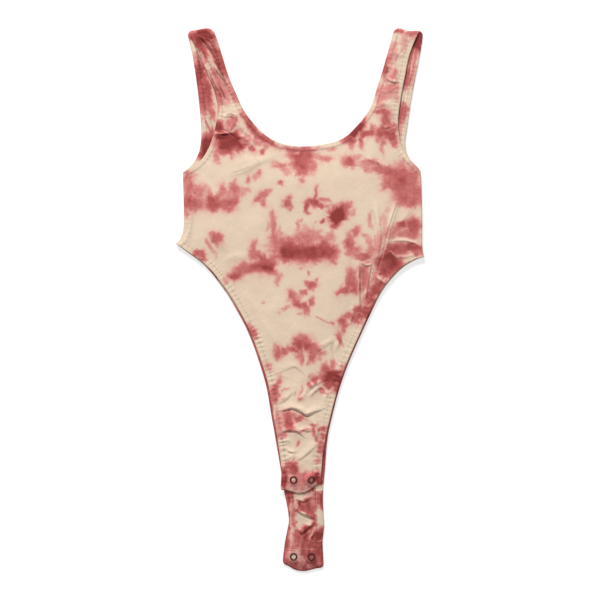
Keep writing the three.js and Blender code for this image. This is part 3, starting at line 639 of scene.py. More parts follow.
def back_mid(pts, look):
    d, s, kind = look
    x, y = pts[:, 0], pts[:, 1]
    tail = smoothstep(-274, -304, y)
    t = thickness(d, kind, y, True)
    flat = 0.5 * np.where(kind == HEM, thickness(np.maximum(d, 0.9), kind, y, True), 1.0)
    z = flat
    fall = np.where(kind == SIDE, np.sqrt(np.clip(1 - (1 - np.clip(d / 3.2, 0, 1)) ** 2, 0, 1)), 1)
    z = np.where(kind == SIDE, 1.7 + (z - 1.7) * fall, z)
    soft = (1 - 0.85 * np.exp(-((d / 3.0) ** 2))) * np.where(kind == SIDE, smoothstep(0, 9, d), 1)
    w = 0.30 * (1 + fbm(x, y, 42, 3, 31)) + 0.10 * (1 + fbm(x, y, 11, 2, 33))
    w *= np.where(kind == SIDE, smoothstep(2, 10, d), 1)
    near = np.zeros(len(pts))
    for cx, cy in BACK_SNAPS:
        near = np.maximum(near, 1 - smoothstep(5.2, 10.0, np.hypot(x - cx, y - cy)))
    strap = smoothstep(150, 190, y)
    z = z + w * soft * (1 - near) * (1 - 0.3 * strap)
    z = z + (crease_height(pts, BACK_CREASES) - np.minimum(fold_depth(pts, BACK_FOLD_LINES), 0.3 + 0.9 * tail)) * soft * (1 - near)
    z = z + np.maximum(gather(d, s, kind, y, 41, True), -0.25) * (1 - near) * (1 - 0.4 * tail)
    z_in = 0.5 + 3.15 * tail
    reach = 15.0
    lift = (z_in - 0.5) * smoothstep(0, 1, d / reach) * (0.72 + 0.28 * near)
    z = z + lift
    z = z * (1 - near) + (0.5 + 3.2 * tail) * near
    # the wide bands along the tail are ribbed lengthwise
    rib = np.where(kind == HEM, smoothstep(1.0, 2.2, d) * (1 - smoothstep(9.2, 10.2, d)), 0) * smoothstep(-225, -245, y)
    z = z + np.where(x > 3, 0.26, 0.12) * rib * np.sin(2 * np.pi * (d + 0.35 * noise(s, d, 9, 47)) / 2.5) * (1 - near)
    return z


class Layer:
    def __init__(self, edges, mid, back):
        self.edges, self.mid, self.back = edges, mid, back

    def at(self, pts):
        """(middle height, thickness, distance from the edge, kind of edge) at each point."""
        pts = np.asarray(pts, float)
        look = self.edges.look(pts)
        z = self.mid(pts, look)
        return z, thickness(look[0], look[2], pts[:, 1], self.back), look[0], look[2], look[1]


FRONT = Layer(front_edges, front_mid, False)
BACK = Layer(back_edges, back_mid, True)

# ------------------------------------------------------------------ dye
# Pools of dye as (u, v, ru, rv, turn in degrees, strength) in pattern units. A negative strength is
# a patch that the dye didn't reach.
FRONT_DYE = [
    # left strap
    (201, 37, 13, 7, -8, 1.1), (200, 47, 5, 11, -28, 0.95), (194, 36, 5, 5, 0, 0.7), (211, 45, 6, 11, -15, 0.5),
    (213, 40, 3, 8, -20, 0.5), (219, 60, 4.4, 16, -24, 1.05), (225, 72, 4, 8, -28, 0.75), (222, 90, 8, 9, -20, 0.5),
    (220, 91, 3, 6, -35, 0.65), (210, 88, 4, 18, -18, 0.85), (216, 78, 4, 8, -24, 0.6), (205, 74, 2, 12, -16, 0.55), (233, 92, 4, 13, -26, 0.5), (216, 96, 7, 10, -20, 0.62), (211, 106, 4, 9, 0, 0.5),
    (224, 100, 6, 5, 0, 0.4),
    (218, 108, 3, 8, 0, 0.35), (214, 60, 3, 8, -30, 0.3), (204, 58, 3, 6, -20, 0.4),
    # left chest
    (219, 127, 5, 6, 0, 1.1), (231, 125, 4.5, 8, 12, 0.55), (235, 122, 2.5, 6, 10, 0.5), (229, 142, 15, 8.5, 6, 1.22), (227, 150, 9, 5, 14, 0.8),
    (222, 138, 8, 6, 0, 0.9), (238, 147, 5, 5, 20, 0.85), (243, 143, 5, 5, 0, 0.5), (250, 124, 4.2, 11, -32, 1.0), (243, 113, 2.4, 5, -28, 0.36),
    (246, 117, 3, 6, -25, 0.55), (255, 133, 4, 8, -40, 0.8), (263, 138, 8, 4.5, 30, 0.75), (271, 143, 7, 3, 22, 0.7),
    (253, 150, 3.2, 3, 0, 0.85), (262, 152, 2.6, 2.4, 0, 0.7), (247, 138, 4, 4, 0, 0.4), (217, 157, 2.8, 4.5, 0, 0.5),
    (231.5, 157, 1.8, 2, 0, 0.4), (218, 163, 3, 2, 20, 0.3), (257, 143, 5, 3, 20, 0.5), (266, 147, 4, 3, 20, 0.4),
    (240, 133, 3, 4, 0, 0.4),
    # middle of the neckline
    (301, 149, 17, 3.4, 0, 0.62), (303, 160, 12, 9, 0, 0.92), (304, 156, 7, 6, 0, 0.5), (302, 171, 6, 6, 0, 0.65),
    (281, 166, 8, 3.2, -12, 0.55), (275, 163, 3, 3, 0, 0.3), (286, 172, 5, 3, 20, 0.4), (323, 159, 8, 3.4, 4, 0.5),
    (331, 150, 5, 2, 10, 0.4), (296, 176, 2, 3, 0, 0.35), (313, 167, 4, 6, 0, 0.5), (292, 154, 5, 5, 0, 0.5),
    (259, 173, 3, 4, 0, 0.6), (249, 181, 2.2, 4.5, 0, 0.5), (280.5, 183, 3.2, 2.6, -20, 0.6), (301, 182, 2.8, 2.4, 0, 0.55),
    (245, 190, 5, 2.6, 20, 0.4), (256, 178, 3, 4, 30, 0.3),
    # right neck edge and chest
    (357, 129, 4.8, 12, 38, 1.15), (362, 121, 3, 6, 32, 0.5), (349, 140, 6, 4.6, 0, 0.8), (351, 146, 3, 4, 0, 0.5),
    (346, 136, 4, 4, 0, 0.5), (361, 142, 2.4, 6, -10, 0.6), (367, 134, 7, 3.6, -10, 0.8), (372, 129, 3, 4, 0, 0.5),
    (382, 113, 8, 3.4, 8, 0.75), (385, 121, 5.5, 7, -12, 0.85), (382, 133, 7, 6, 0, 0.92), (391, 130, 6, 7, 0, 0.7),
    (391, 137, 5, 5, 0, 0.8), (383.5, 146, 2.4, 7, 6, 0.5), (394, 142, 4, 5, 0, 0.55), (378, 139, 3, 4, 0, 0.4),
    (384, 93, 10, 8, 0, 0.42), (389, 74, 6, 8, 0, 0.3), (391, 61, 5, 9, 12, 0.26), (380, 104, 4, 7, 0, 0.3), (394, 75, 2.6, 7, 5, 0.5), (384.5, 67, 3.6, 8.5, 22, 0.92),
    (389, 59, 3, 5, 10, 0.5), (404, 41, 5, 8, 10, 0.32), (398, 31.5, 5, 2.6, 0, 0.8), (413, 33.5, 10, 2.4, 5, 0.7),
    (393, 50, 5, 9, 10, 0.34), (404, 52, 4, 5, 0, 0.22), (392, 88, 7, 4, 0, 0.4), (386, 80, 4, 4, 0, 0.25),
    (396, 93, 3, 9, 0, 0.35), (414, 38, 3, 4, 0, 0.3),
    (350, 161, 7, 5, 0, 0.78), (344, 163, 3, 4, 0, 0.4), (357, 157, 4, 3, 0, 0.4), (369, 162.5, 10, 3.2, 6, 0.62),
    (380, 165, 6, 2.6, 10, 0.35), (352, 168, 3, 2.6, 0, 0.3),
    # right side
    (384, 172, 12, 5.5, 10, 0.6), (366, 169, 6, 4, 20, 0.42), (397, 178, 14, 10, 0, 0.72), (407, 189, 14, 12, 0, 0.72), (414, 176, 6, 8, 0, 0.6),
    (401, 166, 4, 8, -10, 0.45), (395, 165, 2.4, 5, 0, 0.3), (390, 186, 8, 6, 10, 0.55), (408, 201, 11, 7, 0, 0.66),
    (417, 168, 5, 4, 0, 0.4), (374, 168, 5, 3, 0, 0.4), (397, 198, 5, 5, 0, 0.4), (418, 195, 5, 10, 0, 0.5),
    # left side
    (188, 186, 6, 13, 0, 0.62), (187, 203, 5, 8, 0, 0.75), (197, 204, 10, 6, 0, 0.66), (203, 190, 4, 7, 0, 0.35),
    (213, 204, 8, 7.5, 0, 0.9), (224, 204, 9, 6, 0, 0.78), (234, 202, 6, 7, 0, 0.6), (221, 192, 4, 8, 6, 0.55),
    (235, 189, 4.5, 8, -8, 0.55), (240, 193, 6, 4, 20, 0.42), (228, 196, 4, 6, 0, 0.4), (199, 193, 6, 8, 0, 0.5),
    (187, 214, 3, 5, 0, 0.5), (209, 194, 3, 6, 0, 0.4), (229, 210, 6, 3, 0, 0.5), (192, 176, 5, 5, 0, 0.3),
    # middle, small ones
    (262, 196, 6, 3, -30, 0.6), (258, 200, 4, 3.4, 0, 0.5), (264.5, 203, 2.6, 4, -20, 0.5), (268, 191, 4, 2, -20, 0.4),
    (286.5, 204, 4, 4.4, 0, 0.75), (289, 199, 3, 2.2, -30, 0.5), (290, 208, 2.4, 2.4, 30, 0.45), (284, 207, 2.2, 2, 0, 0.5),
    (315, 202, 5.5, 4.4, 20, 0.95), (316.5, 194, 1.6, 5, 0, 0.75), (309, 200, 4, 2.4, -20, 0.6), (307.5, 207, 2.2, 6.4, 16, 0.95),
    (308.5, 213, 2.4, 1.8, 20, 0.8), (321, 206, 4, 3, 20, 0.75), (324.5, 199, 5, 1.6, 10, 0.6), (327, 206, 2.4, 1.4, 0, 0.5),
    (337, 217, 8, 7, 0, 1.35), (341, 212, 5.5, 6, 0, 1.0), (345, 207, 4, 5, 20, 0.75), (349.5, 203, 1.8, 2.4, 0, 0.55),
    (352, 213, 3, 3.6, 0, 0.42), (335, 226, 4, 3, 0, 0.85), (322.5, 222, 2, 2, 0, 0.85), (328.5, 221, 1.6, 1.4, 0, 0.5),
    (341, 204, 1.8, 2.2, 0, 0.4), (347, 213, 4, 3, 30, 0.6),
    (272.5, 225, 2.8, 12, 0, 0.5), (271, 217, 2, 4, 0, 0.35), (275, 238, 5, 6, 0, 0.5), (267, 228, 2, 5, 10, 0.3),
    # the big one in the middle
    (300, 252, 25, 10, 0, 0.86), (290, 252, 13, 8.4, 0, 0.84), (312, 254, 13, 8.4, 0, 0.88), (327, 251, 9, 8.4, 0, 0.9),
    (334, 253, 5.5, 8, 0, 0.6), (278, 244, 7, 4.2, 8, 0.58), (287, 240, 9, 4.6, 0, 0.6), (303, 239, 10, 7, 0, 0.55),
    (312, 236, 9, 6, 10, 0.46), (323, 241, 8, 5, 0, 0.48), (290, 261, 9, 2.8, 0, 0.55), (300, 262, 8, 3.4, 0, 0.4),
    (298, 226, 2.6, 6, 0, 0.4), (305, 229, 3, 4, 0, 0.3), (301, 221, 1.8, 2.2, 0, 0.35), (315, 223.5, 1.6, 1.6, 0, 0.3),
    (331, 236, 5, 5, 10, 0.35), (334, 262, 2.6, 4, 0, 0.5), (273, 257, 3, 6, 10, 0.3), (280, 232, 4, 4, 0, 0.35),
    # lower left of it
    (263, 264, 11, 9, 0, 0.82), (267, 269, 7, 4.6, 0, 0.9), (249, 269, 14, 6.4, -12, 0.76), (236, 276, 8, 4.4, -6, 0.75),
    (230, 274, 4, 2.6, -20, 0.4), (253.5, 246, 3.2, 6, 0, 0.5), (256, 254, 6, 6, 0, 0.55), (272, 263, 3, 9, 6, 0.55),
    (274, 273, 5, 3, 30, 0.5), (277, 281, 3, 3.6, 0, 0.42), (281, 276, 2.4, 2.4, 0, 0.3), (308, 273, 2, 2.4, 0, 0.42),
    (301, 269, 2.4, 1.6, 0, 0.3), (226, 281, 3, 3, 0, 0.4),
    (217, 239, 5, 4.6, 0, 0.78), (213, 234, 3, 2.6, 20, 0.55), (217, 244, 1.6, 4, 0, 0.5), (222, 237, 3, 1.6, -10, 0.4),
    (209.5, 247, 1.8, 8, -24, 0.42), (214.5, 254, 1.4, 4, -24, 0.3), (200, 253, 4.4, 4.4, 0, 0.75), (203, 258, 3, 2.6, 0, 0.6),
    (196, 251, 3, 2, 0, 0.4),
    (312, 285, 5, 4, 0, 0.78), (316, 279.5, 1.8, 2.6, 20, 0.55), (307.5, 283, 2.4, 2, 0, 0.5), (313, 290, 2, 2, 0, 0.4),
    (292, 295, 4, 4.6, 0, 0.72), (295, 302, 4.6, 4, 10, 0.8), (301, 305, 6, 3.4, 10, 0.75), (306, 310, 3.6, 4, 0, 0.78),
    (311, 302, 2.8, 4.6, 0, 0.62), (303, 291, 3.4, 2.6, -30, 0.55), (298, 297, 3, 2.4, 0, 0.4), (286, 308, 4.4, 2.2, -30, 0.42),
    (281, 313, 2, 1.6, 0, 0.25), (300, 314, 2.2, 1.8, 0, 0.4), (264.5, 303, 1.7, 1.8, 0, 0.4), (331.5, 323.5, 2.2, 1.5, 0, 0.55),
    # right of the middle
    (350, 244, 5.6, 8, 0, 0.66), (345, 245, 4, 5, 0, 0.4), (355, 232, 4.2, 6, 20, 0.55), (350, 252, 5, 3, 0, 0.45),
    (369, 219, 2.4, 7, 8, 0.4), (372, 227, 2.4, 3, 0, 0.25), (363, 257, 9, 4.2, 0, 0.85), (357, 252, 4, 4, 0, 0.55),
    (368.5, 243, 3, 4.4, 0, 0.4), (371, 251, 5, 5, 0, 0.5), (366, 236, 4, 2.4, 0, 0.35), (383, 222, 4, 10, 0, 0.28),
    (378, 244, 4, 10, 6, 0.42), (383, 236, 3.6, 6, 0, 0.3), (388, 210, 3, 3, 0, 0.3),
    (391, 234, 7, 8, 0, 0.4), (401, 225, 4.6, 3.6, 0, 0.8), (396, 230, 5, 3, -20, 0.5), (414, 228, 7, 8, 0, 0.82), (418, 224, 4, 5, 0, 0.6),
    (405, 234, 8, 4, -10, 0.62), (413, 236, 7, 4, 0, 0.6), (403, 249, 16, 5, -4, 0.9), (391, 248, 6, 4.6, 0, 0.6),
    (417, 251, 6, 5, 0, 0.85),
    (388, 262, 10.5, 13, 8, 0.98), (396, 264, 9, 9, 20, 0.9), (384, 273, 6, 5, 20, 0.85), (393, 272, 5, 5, 0, 0.7),
    (376, 289, 6, 8, 20, 1.05), (382, 286, 5, 6, 20, 0.85), (370, 297, 5, 6, 10, 0.85), (374, 276, 3, 8, 6, 0.5),
    (364, 277, 5.4, 13, 0, 0.62), (364, 268, 6, 4, 0, 0.5), (351, 279, 5.6, 9, 8, 0.75), (357, 287, 4, 8, 0, 0.6),
    (344, 291, 6, 3.4, -20, 0.75), (338, 293, 3.4, 2.6, 0, 0.55), (352, 289, 6, 4, 0, 0.5), (341, 285, 2, 3, 20, 0.3),
    (363, 312, 9, 7, -26, 1.0), (373, 304, 6, 5.5, -26, 0.95), (356, 318, 6, 4.4, -20, 0.85), (366, 302, 5, 4, 0, 0.6),
    (348, 316, 4.4, 3, -20, 0.7), (342.5, 322, 4, 5, 10, 0.82), (343, 329, 2.6, 4, 0, 0.55), (347, 324, 3, 2.6, 0, 0.5),
    (339, 337, 2, 6, -8, 0.75), (342, 342, 1.2, 4, -16, 0.4), (336, 335, 2, 2, 0, 0.3),
    # above the narrow part
    (252, 332, 4, 6, -24, 0.62), (250, 327, 2.6, 4, -20, 0.4), (256, 338, 2, 3, -20, 0.4),
    (302, 343, 9, 6.4, 0, 0.82), (302, 337, 5.6, 3.2, 0, 0.5), (311, 347, 8, 5, 20, 0.68), (318, 352, 5, 3.4, 20, 0.5),
    (325, 353, 3, 2.2, 0, 0.3), (288, 350, 9, 4.4, 6, 0.82), (294, 345, 6, 3, 0, 0.4), (277.5, 353, 3.4, 6, -6, 0.75),
    (275, 347, 2, 3, 0, 0.35), (300, 356, 4.2, 6, 10, 0.6), (302, 363, 2.2, 3.6, 0, 0.4), (312, 357, 4, 6, 0, 0.66),
    (309, 363, 2.4, 3, 0, 0.4), (318, 358, 2.6, 3, 0, 0.4), (284, 355, 3, 2.4, 0, 0.4),
    (268, 366, 5.4, 4.4, 20, 0.42), (272, 371, 3, 2, 0, 0.22), (343, 366, 3, 3, 0, 0.3),
    (333, 377, 9.5, 7.5, 0, 1.3), (337, 380, 5.5, 8, 0, 0.7), (327, 372, 5, 7.5, 0, 0.85), (333, 365, 2.6, 4.4, 10, 0.6),
    (322, 373, 5, 4, -30, 0.6), (337, 388, 5, 4.6, 0, 0.95), (330, 384, 6, 5, 20, 0.95), (325, 379, 5, 5, 0, 0.75), (316, 379, 4, 3.4, -24, 0.8),
    (309.5, 384, 1.8, 3, 10, 0.7), (341, 374, 2.6, 7, 10, 0.6), (341, 365, 2, 2.4, 0, 0.3), (322, 390, 3.2, 2.2, 20, 0.75),
    (327, 394, 3, 1.6, 30, 0.4), (312, 375, 3, 2, -30, 0.3), (325, 367, 2, 4, 0, 0.4),
    (278, 381, 2.2, 5.4, 14, 0.5), (275, 389, 4, 4.6, 0, 0.75), (275, 397, 4, 6, 0, 0.62), (272, 405, 2.4, 6, 0, 0.4),
    (285, 390, 5.6, 1.2, -26, 0.38), (282, 399, 3, 1.4, -20, 0.25), (302, 391, 1.5, 5, 8, 0.38), (299.5, 398, 3, 1.6, -40, 0.55),
    (296, 392, 1.4, 3, 14, 0.3),
    (287, 417, 6.6, 6, 0, 0.72), (288, 425, 5.4, 5, 0, 0.85), (287, 428.5, 3.4, 2.4, 0, 0.6), (299, 418, 4.6, 4, 0, 0.62),
    (293, 414, 4, 3, 0, 0.4), (306, 420, 3, 1.8, 0, 0.25), (278, 422, 3, 10, -6, 0.5), (282, 434, 5, 4, 0, 0.55),
    (285, 412, 3, 2, 0, 0.3), (304, 430, 9, 1.2, 0, 0.62),
    (314, 424.5, 3, 2.6, 0, 0.75), (313.5, 431, 1.8, 4.6, 0, 0.66), (315.5, 438, 1.6, 3.4, -16, 0.6), (322, 429, 4.4, 2.8, 10, 0.55),
    (323, 437, 3.4, 4, 0, 0.72), (322, 444, 4, 3, 0, 0.6), (320, 441, 2.4, 3, 0, 0.5), (321, 450, 4, 4.4, 0, 0.7),
    (319, 446, 2, 3, 0, 0.3), (318, 460, 3, 3, 10, 0.36), (323, 457, 2, 4, 0, 0.3), (298, 442, 1.1, 4, 10, 0.5),
    # tab
    (291, 465, 6.4, 4.4, 0, 0.9), (293, 459, 1.6, 2.6, 20, 0.45), (284, 471, 4.4, 4.4, 0, 0.9), (293, 470, 5.4, 4.4, 0, 0.8),
    (284, 480, 4, 10, 0, 1.05), (281, 486, 3, 3, 0, -0.7), (296, 481, 9, 8, 0, 0.52), (299, 475, 6, 3, 0, 0.55),
    (304, 480, 2, 6, 0, 0.72), (311, 477, 6, 5.4, 0, 0.8), (317, 478, 4, 5.6, 0, 1.1), (307, 486, 7, 3, -14, 0.4),
    (305, 473, 1.4, 3, 10, 0.35), (312, 472, 1.4, 3, 0, 0.35),
    (293.6, 479.2, 2.1, 2.3, 0, -0.9), (311.2, 479.2, 1.6, 2.0, 0, -0.5),
]
# Lines that the dye followed or was kept out of: (points, half width in units, strength).
FRONT_LINES = [
    ([(315, 316), (323, 320.5), (331, 323.5)], 0.9, 0.5),
    ([(383, 240.5), (392, 239.6), (402, 241), (412, 241.5), (421, 246)], 1.1, -0.75),
    ([(386, 243.5), (384.5, 250), (377, 256)], 0.9, -0.5),
    ([(391, 252.5), (396, 256.5), (401, 259.5), (410, 257)], 0.9, -0.75),
    ([(376, 275.5), (381, 280), (386, 283.5)], 1.2, -0.85),
    ([(358, 263), (362, 264.5), (366, 265.5), (371, 264.5)], 1.3, -0.8),
    ([(358.3, 268), (358.3, 285), (358.5, 306)], 0.8, -0.6),
    ([(372, 262), (374, 270), (371, 281)], 0.9, -0.5),
    ([(366, 306), (371, 303), (375, 305)], 0.8, -0.45),
    ([(354, 316), (360, 313), (364, 316)], 0.8, -0.4),
    ([(391, 209), (394, 220), (389, 238)], 1.2, -0.4),
    ([(372, 212), (376, 224), (377, 240)], 1.0, -0.45),
    ([(213.5, 133.4), (221, 134.6), (230, 133.2)], 0.8, -0.6),
    ([(233, 134), (230, 129), (227, 124)], 0.7, -0.35),
    ([(384, 131), (390, 128.6), (397, 126)], 0.7, -0.55),
    ([(321.5, 386), (326, 388.5), (329, 393)], 0.8, -0.75),
    ([(319.5, 391), (325, 391), (330, 396)], 0.6, -0.6),
    ([(325.5, 395), (327.5, 390), (326, 386)], 0.5, -0.3),
    ([(318.5, 433), (321, 437), (319, 441)], 0.8, -0.75),
    ([(318, 442.5), (322, 441.5), (325, 440.5)], 0.6, -0.5),
    ([(284, 440), (290, 436)], 0.5, -0.2),
    ([(303, 345), (304.5, 356), (304, 366)], 1.0, -0.5),
    ([(288, 355), (291, 349), (290, 342)], 0.7, -0.3),
    ([(211, 186), (214, 194), (217, 202)], 0.9, -0.3),
    ([(240, 184), (241, 196), (239, 206)], 0.8, -0.25),
    ([(331, 150), (338, 149)], 0.9, 0.25),
]
BACK_DYE = [
    # inside of the left strap
    (191, 36, 5, 5, 0, 0.8), (197, 58, 4, 6, 0, 0.5), (199, 74, 6, 14, 0, 1.15), (201, 94, 6, 12, 0, 0.95), (203, 110, 5, 8, 0, 0.6),
    (205, 105, 4, 6, 0, 0.75), (208, 92, 4, 15, -14, 1.0), (211, 112, 2.6, 8, -20, 0.7), (208.6, 126, 1.4, 9, -18, 0.6), (206, 142, 5, 6, 0, 1.0), (208, 145, 9, 10, 0, 1.2), (204, 153, 5, 8, 0, 1.1),
    (213, 135, 6, 6, 0, 0.8),
    # inside of the right strap
    (418, 40, 7, 14, 8, 1.35), (412, 52, 4, 12, 10, 0.8), (412, 66, 5, 14, 6, 0.55), (406, 78, 5, 12, 0, 0.85),
    (402, 112, 6, 9, 10, 0.82), (397, 118, 5, 9, 0, 0.6), (400, 126, 2, 14, 0, 0.4), (414, 84, 4, 8, 0, 0.3),
    (394, 95, 3, 24, 0, 0.5),
]
BACK_LINES = [
    ([(414, 52), (411, 66), (409, 80)], 1.2, -0.5),
    ([(197, 42), (199, 54), (202, 66)], 1.4, -0.4),
]
TAIL_DYE = [
    (320, 488.5, 6, 4.4, 0, -1.0), (320, 517, 5, 9.5, 0, -1.1), (317, 527, 3, 3, 0, -0.6), (318, 536, 7, 5, 0, 1.3),
    (299, 496, 6, 4, 20, -0.9), (308, 494.5, 6, 3.2, -20, -0.7), (295, 503, 2.4, 6, 0, -0.7),
    (293, 489, 3, 4, 0, 0.2), (303, 519, 8, 5.6, 10, -1.0), (300, 525, 4.6, 4.6, 0, -0.8), (309, 522, 4.4, 4, 0, -0.7), (300, 515, 4, 4, 0, -0.7),
    (291, 508, 2.4, 7, 0, -0.5), (291.5, 536, 2.4, 9, 0, -0.6), (287, 552, 3, 6, 0, -0.35), (296, 555.6, 7, 7, 0, -0.75),
    (301, 563, 3, 4, 0, -0.3), (309, 566, 4, 2.6, 0, -0.35), (312, 532, 1.6, 6, 24, -0.5), (294, 530, 1.6, 4, 0, -0.5),
    (308, 505, 8, 5, 10, 0.3), (313, 551, 6, 7, 0, 0.4), (296, 541, 5, 6, 0, -0.22), (288, 499, 3, 8, 0, 0.3),
    (290, 524, 2, 5, 0, -0.35), (285, 566, 2.6, 3, 0, -0.25), (300, 570, 2, 4, 0, -0.2),
    (293.6, 555.8, 2.4, 2.6, 0, -0.9), (311.2, 555.8, 1.8, 2.2, 0, -0.3),
]

TAIL_LINES = [
    ([(291, 492), (290.6, 508), (291, 528), (290.4, 546), (289.4, 563)], 0.8, -0.6),
    ([(315.4, 486), (315.8, 499), (315.6, 508)], 0.6, -0.4),
    ([(310.5, 540), (317, 541.4), (323.5, 540)], 0.7, -0.6),
    ([(296, 540), (297.4, 547), (296.4, 553)], 0.6, -0.3),
    ([(303, 557), (306, 563), (309, 568)], 0.8, -0.45),
    ([(313, 529), (311.5, 535), (308.6, 540)], 0.9, -0.5),
    ([(286, 494), (286.6, 506), (287.4, 516)], 0.7, -0.3),
    ([(288, 548), (298, 547.6), (311, 548.6), (319, 547.6)], 0.6, -0.35),
    ([(320, 549), (320.5, 558), (319.6, 566)], 0.6, -0.3),
]


def dye_at(pts, pools, lines=(), start=0.0, seed=7):
    """How much dye the cloth holds at each point: 0 is none, and above 1 is the deepest."""
    u0, v0 = 300 + pts[:, 0] / 1.25, 300 - pts[:, 1] / 1.25
    u = u0 + 1.5 * noise(u0, v0, 7, seed) + 0.8 * noise(u0, v0, 3.1, seed + 1)
    v = v0 + 1.5 * noise(u0, v0, 7, seed + 2) + 0.8 * noise(u0, v0, 3.1, seed + 3)
    dye = np.full(len(pts), float(start))
    for k, (cu, cv, ru, rv, turn, strength) in enumerate(pools):
        reach = 2.6 * max(ru, rv) + 4
        near = np.nonzero((np.abs(u0 - cu) < reach) & (np.abs(v0 - cv) < reach))[0]
        if not len(near):
            continue
        a = math.radians(turn)
        du, dv = u[near] - cu, v[near] - cv
        p, q = (du * math.cos(a) + dv * math.sin(a)) / ru, (dv * math.cos(a) - du * math.sin(a)) / rv
        r = np.hypot(p, q)
        c, s = p / np.maximum(r, 1e-6), q / np.maximum(r, 1e-6)
        fringe = 1 + 0.22 * noise(c * 2 + 9 * k, s * 2, 1, seed + 5) + 0.18 * noise(c * 6 + 7 * k, s * 6, 1, seed + 6)
        r = r / fringe
        if strength > 0:
            amount = 0.79 * (1 - smoothstep(0.5, 1.4, r)) + 0.21 * (1 - smoothstep(0.8, 2.2, r)) ** 1.5
        else:
            amount = 1 - smoothstep(0.5, 1.35, r)
        if strength > 0:
            dye[near] = (dye[near] ** 3.4 + (strength * amount) ** 3.4) ** (1 / 3.4)
        else:
            dye[near] = dye[near] * (1 - np.clip(-strength * amount, 0, 1))
    for points, half, strength in lines:
        line = spline(points, 0.6)
        lo, hi = line.min(0) - 5 * half, line.max(0) + 5 * half
        near = np.nonzero((u0 > lo[0]) & (u0 < hi[0]) & (v0 > lo[1]) & (v0 < hi[1]))[0]
        if not len(near):
            continue
        uu, vv = 0.5 * (u[near] + u0[near]), 0.5 * (v[near] + v0[near])
        d = np.hypot(uu[:, None] - line[None, :, 0], vv[:, None] - line[None, :, 1])
        k = d.argmin(1)
        t = k / (len(line) - 1)
        amount = np.exp(-((d.min(1) / half) ** 2)) * np.clip(4 * np.minimum(t, 1 - t) + 0.4, 0, 1)
        if strength > 0:
            dye[near] += strength * amount * (1 - np.clip(dye[near], 0, 1))
        else:
            dye[near] *= 1 - np.clip(-strength * amount, 0, 1)
    return np.clip(dye, 0, 1.35)


def front_dye(pts):
    """The front's dye, with the faint wash that spread beyond the pools."""
    dye = dye_at(pts, FRONT_DYE, FRONT_LINES)
    wash = dye_at(pts, [(u, v, 1.4 * ru + 2.5, 1.4 * rv + 2.5, turn, 0.14) for u, v, ru, rv, turn, k in FRONT_DYE if k > 0.45])
    mottle = 1 + 0.30 * fbm(pts[:, 0], pts[:, 1], 13, 3, 19)
    return 1.06 * dye * mottle + wash * (0.7 + 0.6 * fbm(pts[:, 0], pts[:, 1], 9, 2, 21)) * (1 - np.clip(dye, 0, 1))


def scattered(seed):
    """Clusters of pools at random over the back, as a crumpled garment takes the dye."""
    rng = np.random.default_rng(seed)
    pools = []
    for i in range(6):
        for j in range(10):
            cu, cv, size, skip = 182 + 41 * (i + rng.uniform()), 140 + 36 * (j + rng.uniform()), rng.uniform(0.75, 1.4), rng.uniform()
            for _ in range(rng.integers(4, 8)):
                u, v = cu + rng.normal(0, 10 * size), cv + rng.normal(0, 6 * size)
                pool = (u, v, size * rng.uniform(2.4, 9.5), size * rng.uniform(2.2, 6.4), rng.uniform(-35, 35), rng.uniform(0.5, 1.1))
                if skip > 0.1:
                    pools.append(pool)
    return pools


SCATTER = scattered(97)


def back_dye(pts):
    """The back: deep red in from the legs and on the tail, and pools of its own elsewhere."""
    x, y = pts[:, 0], pts[:, 1]
    d = back_edges.look(pts)[0]
    reach = np.clip(0.5 + 1.1 * fbm(x, y, 34, 3, 61), 0, 1)
    border = 1 - smoothstep(3.0 + 16 * reach, 6.0 + 26 * reach, d)
    border = np.maximum(border, 0.85 * smoothstep(-175, -215, y))
    low = smoothstep(20, -30, y) * border
    pools = dye_at(pts, SCATTER, (), 0.0, 91) * (1 + 0.30 * fbm(x, y, 13, 3, 65))
    field = (pools ** 3 + ((0.92 + 0.26 * fbm(x, y, 17, 2, 63)) * low) ** 3) ** (1 / 3)
    field *= 1 - smoothstep(150, 185, y) * smoothstep(60, 85, np.abs(x))
    dye = field + dye_at(pts, BACK_DYE, BACK_LINES, 0.0, 71) * smoothstep(150, 185, y)
    streak = fbm(x * 2.2, y * 0.6, 9, 3, 83) + 0.6 * fbm(x, y, 6, 2, 84)
    tail = dye_at(pts, TAIL_DYE, TAIL_LINES, 1.0, 81) * (1 + 0.40 * streak)
    k = smoothstep(-222, -230, y)
    return np.clip(dye * (1 - k) + tail * k, 0, 1.35)

# ------------------------------------------------------------------ meshes
def inside(poly, pts):
    x, y = pts[:, 0], pts[:, 1]
    hit = np.zeros(len(pts), bool)
    a, b = poly, np.roll(poly, -1, axis=0)
    for (x0, y0), (x1, y1) in zip(a, b):
        if y0 == y1:
            continue
        c = ((y0 > y) != (y1 > y)) & (x < (x1 - x0) * (y - y0) / (y1 - y0) + x0)
        hit ^= c
    return hit


def clipped(line, low, high):
    """The stretch of a curve with y between low and high, ending exactly on them."""
    out = []
    for i in range(len(line)):
        p = line[i]
        if i:
            q = line[i - 1]
            for y in (low, high):
                if (q[1] - y) * (p[1] - y) < 0:
                    t = (y - q[1]) / (p[1] - q[1])
                    out.append(q + t * (p - q))
        if low <= p[1] <= high:
            out.append(p)
    return np.array(out)


def mesh_object(name, verts, faces, flat_faces=()):
    mesh = bpy.data.meshes.new(name)
    mesh.from_pydata([tuple(v) for v in verts], [], [tuple(f) for f in faces])
    smooth = np.ones(len(faces), bool)
    smooth[list(flat_faces)] = False
    mesh.polygons.foreach_set("use_smooth", smooth)
    mesh.update()
    obj = bpy.data.objects.new(name, mesh)
    bpy.context.scene.collection.objects.link(obj)
    return obj


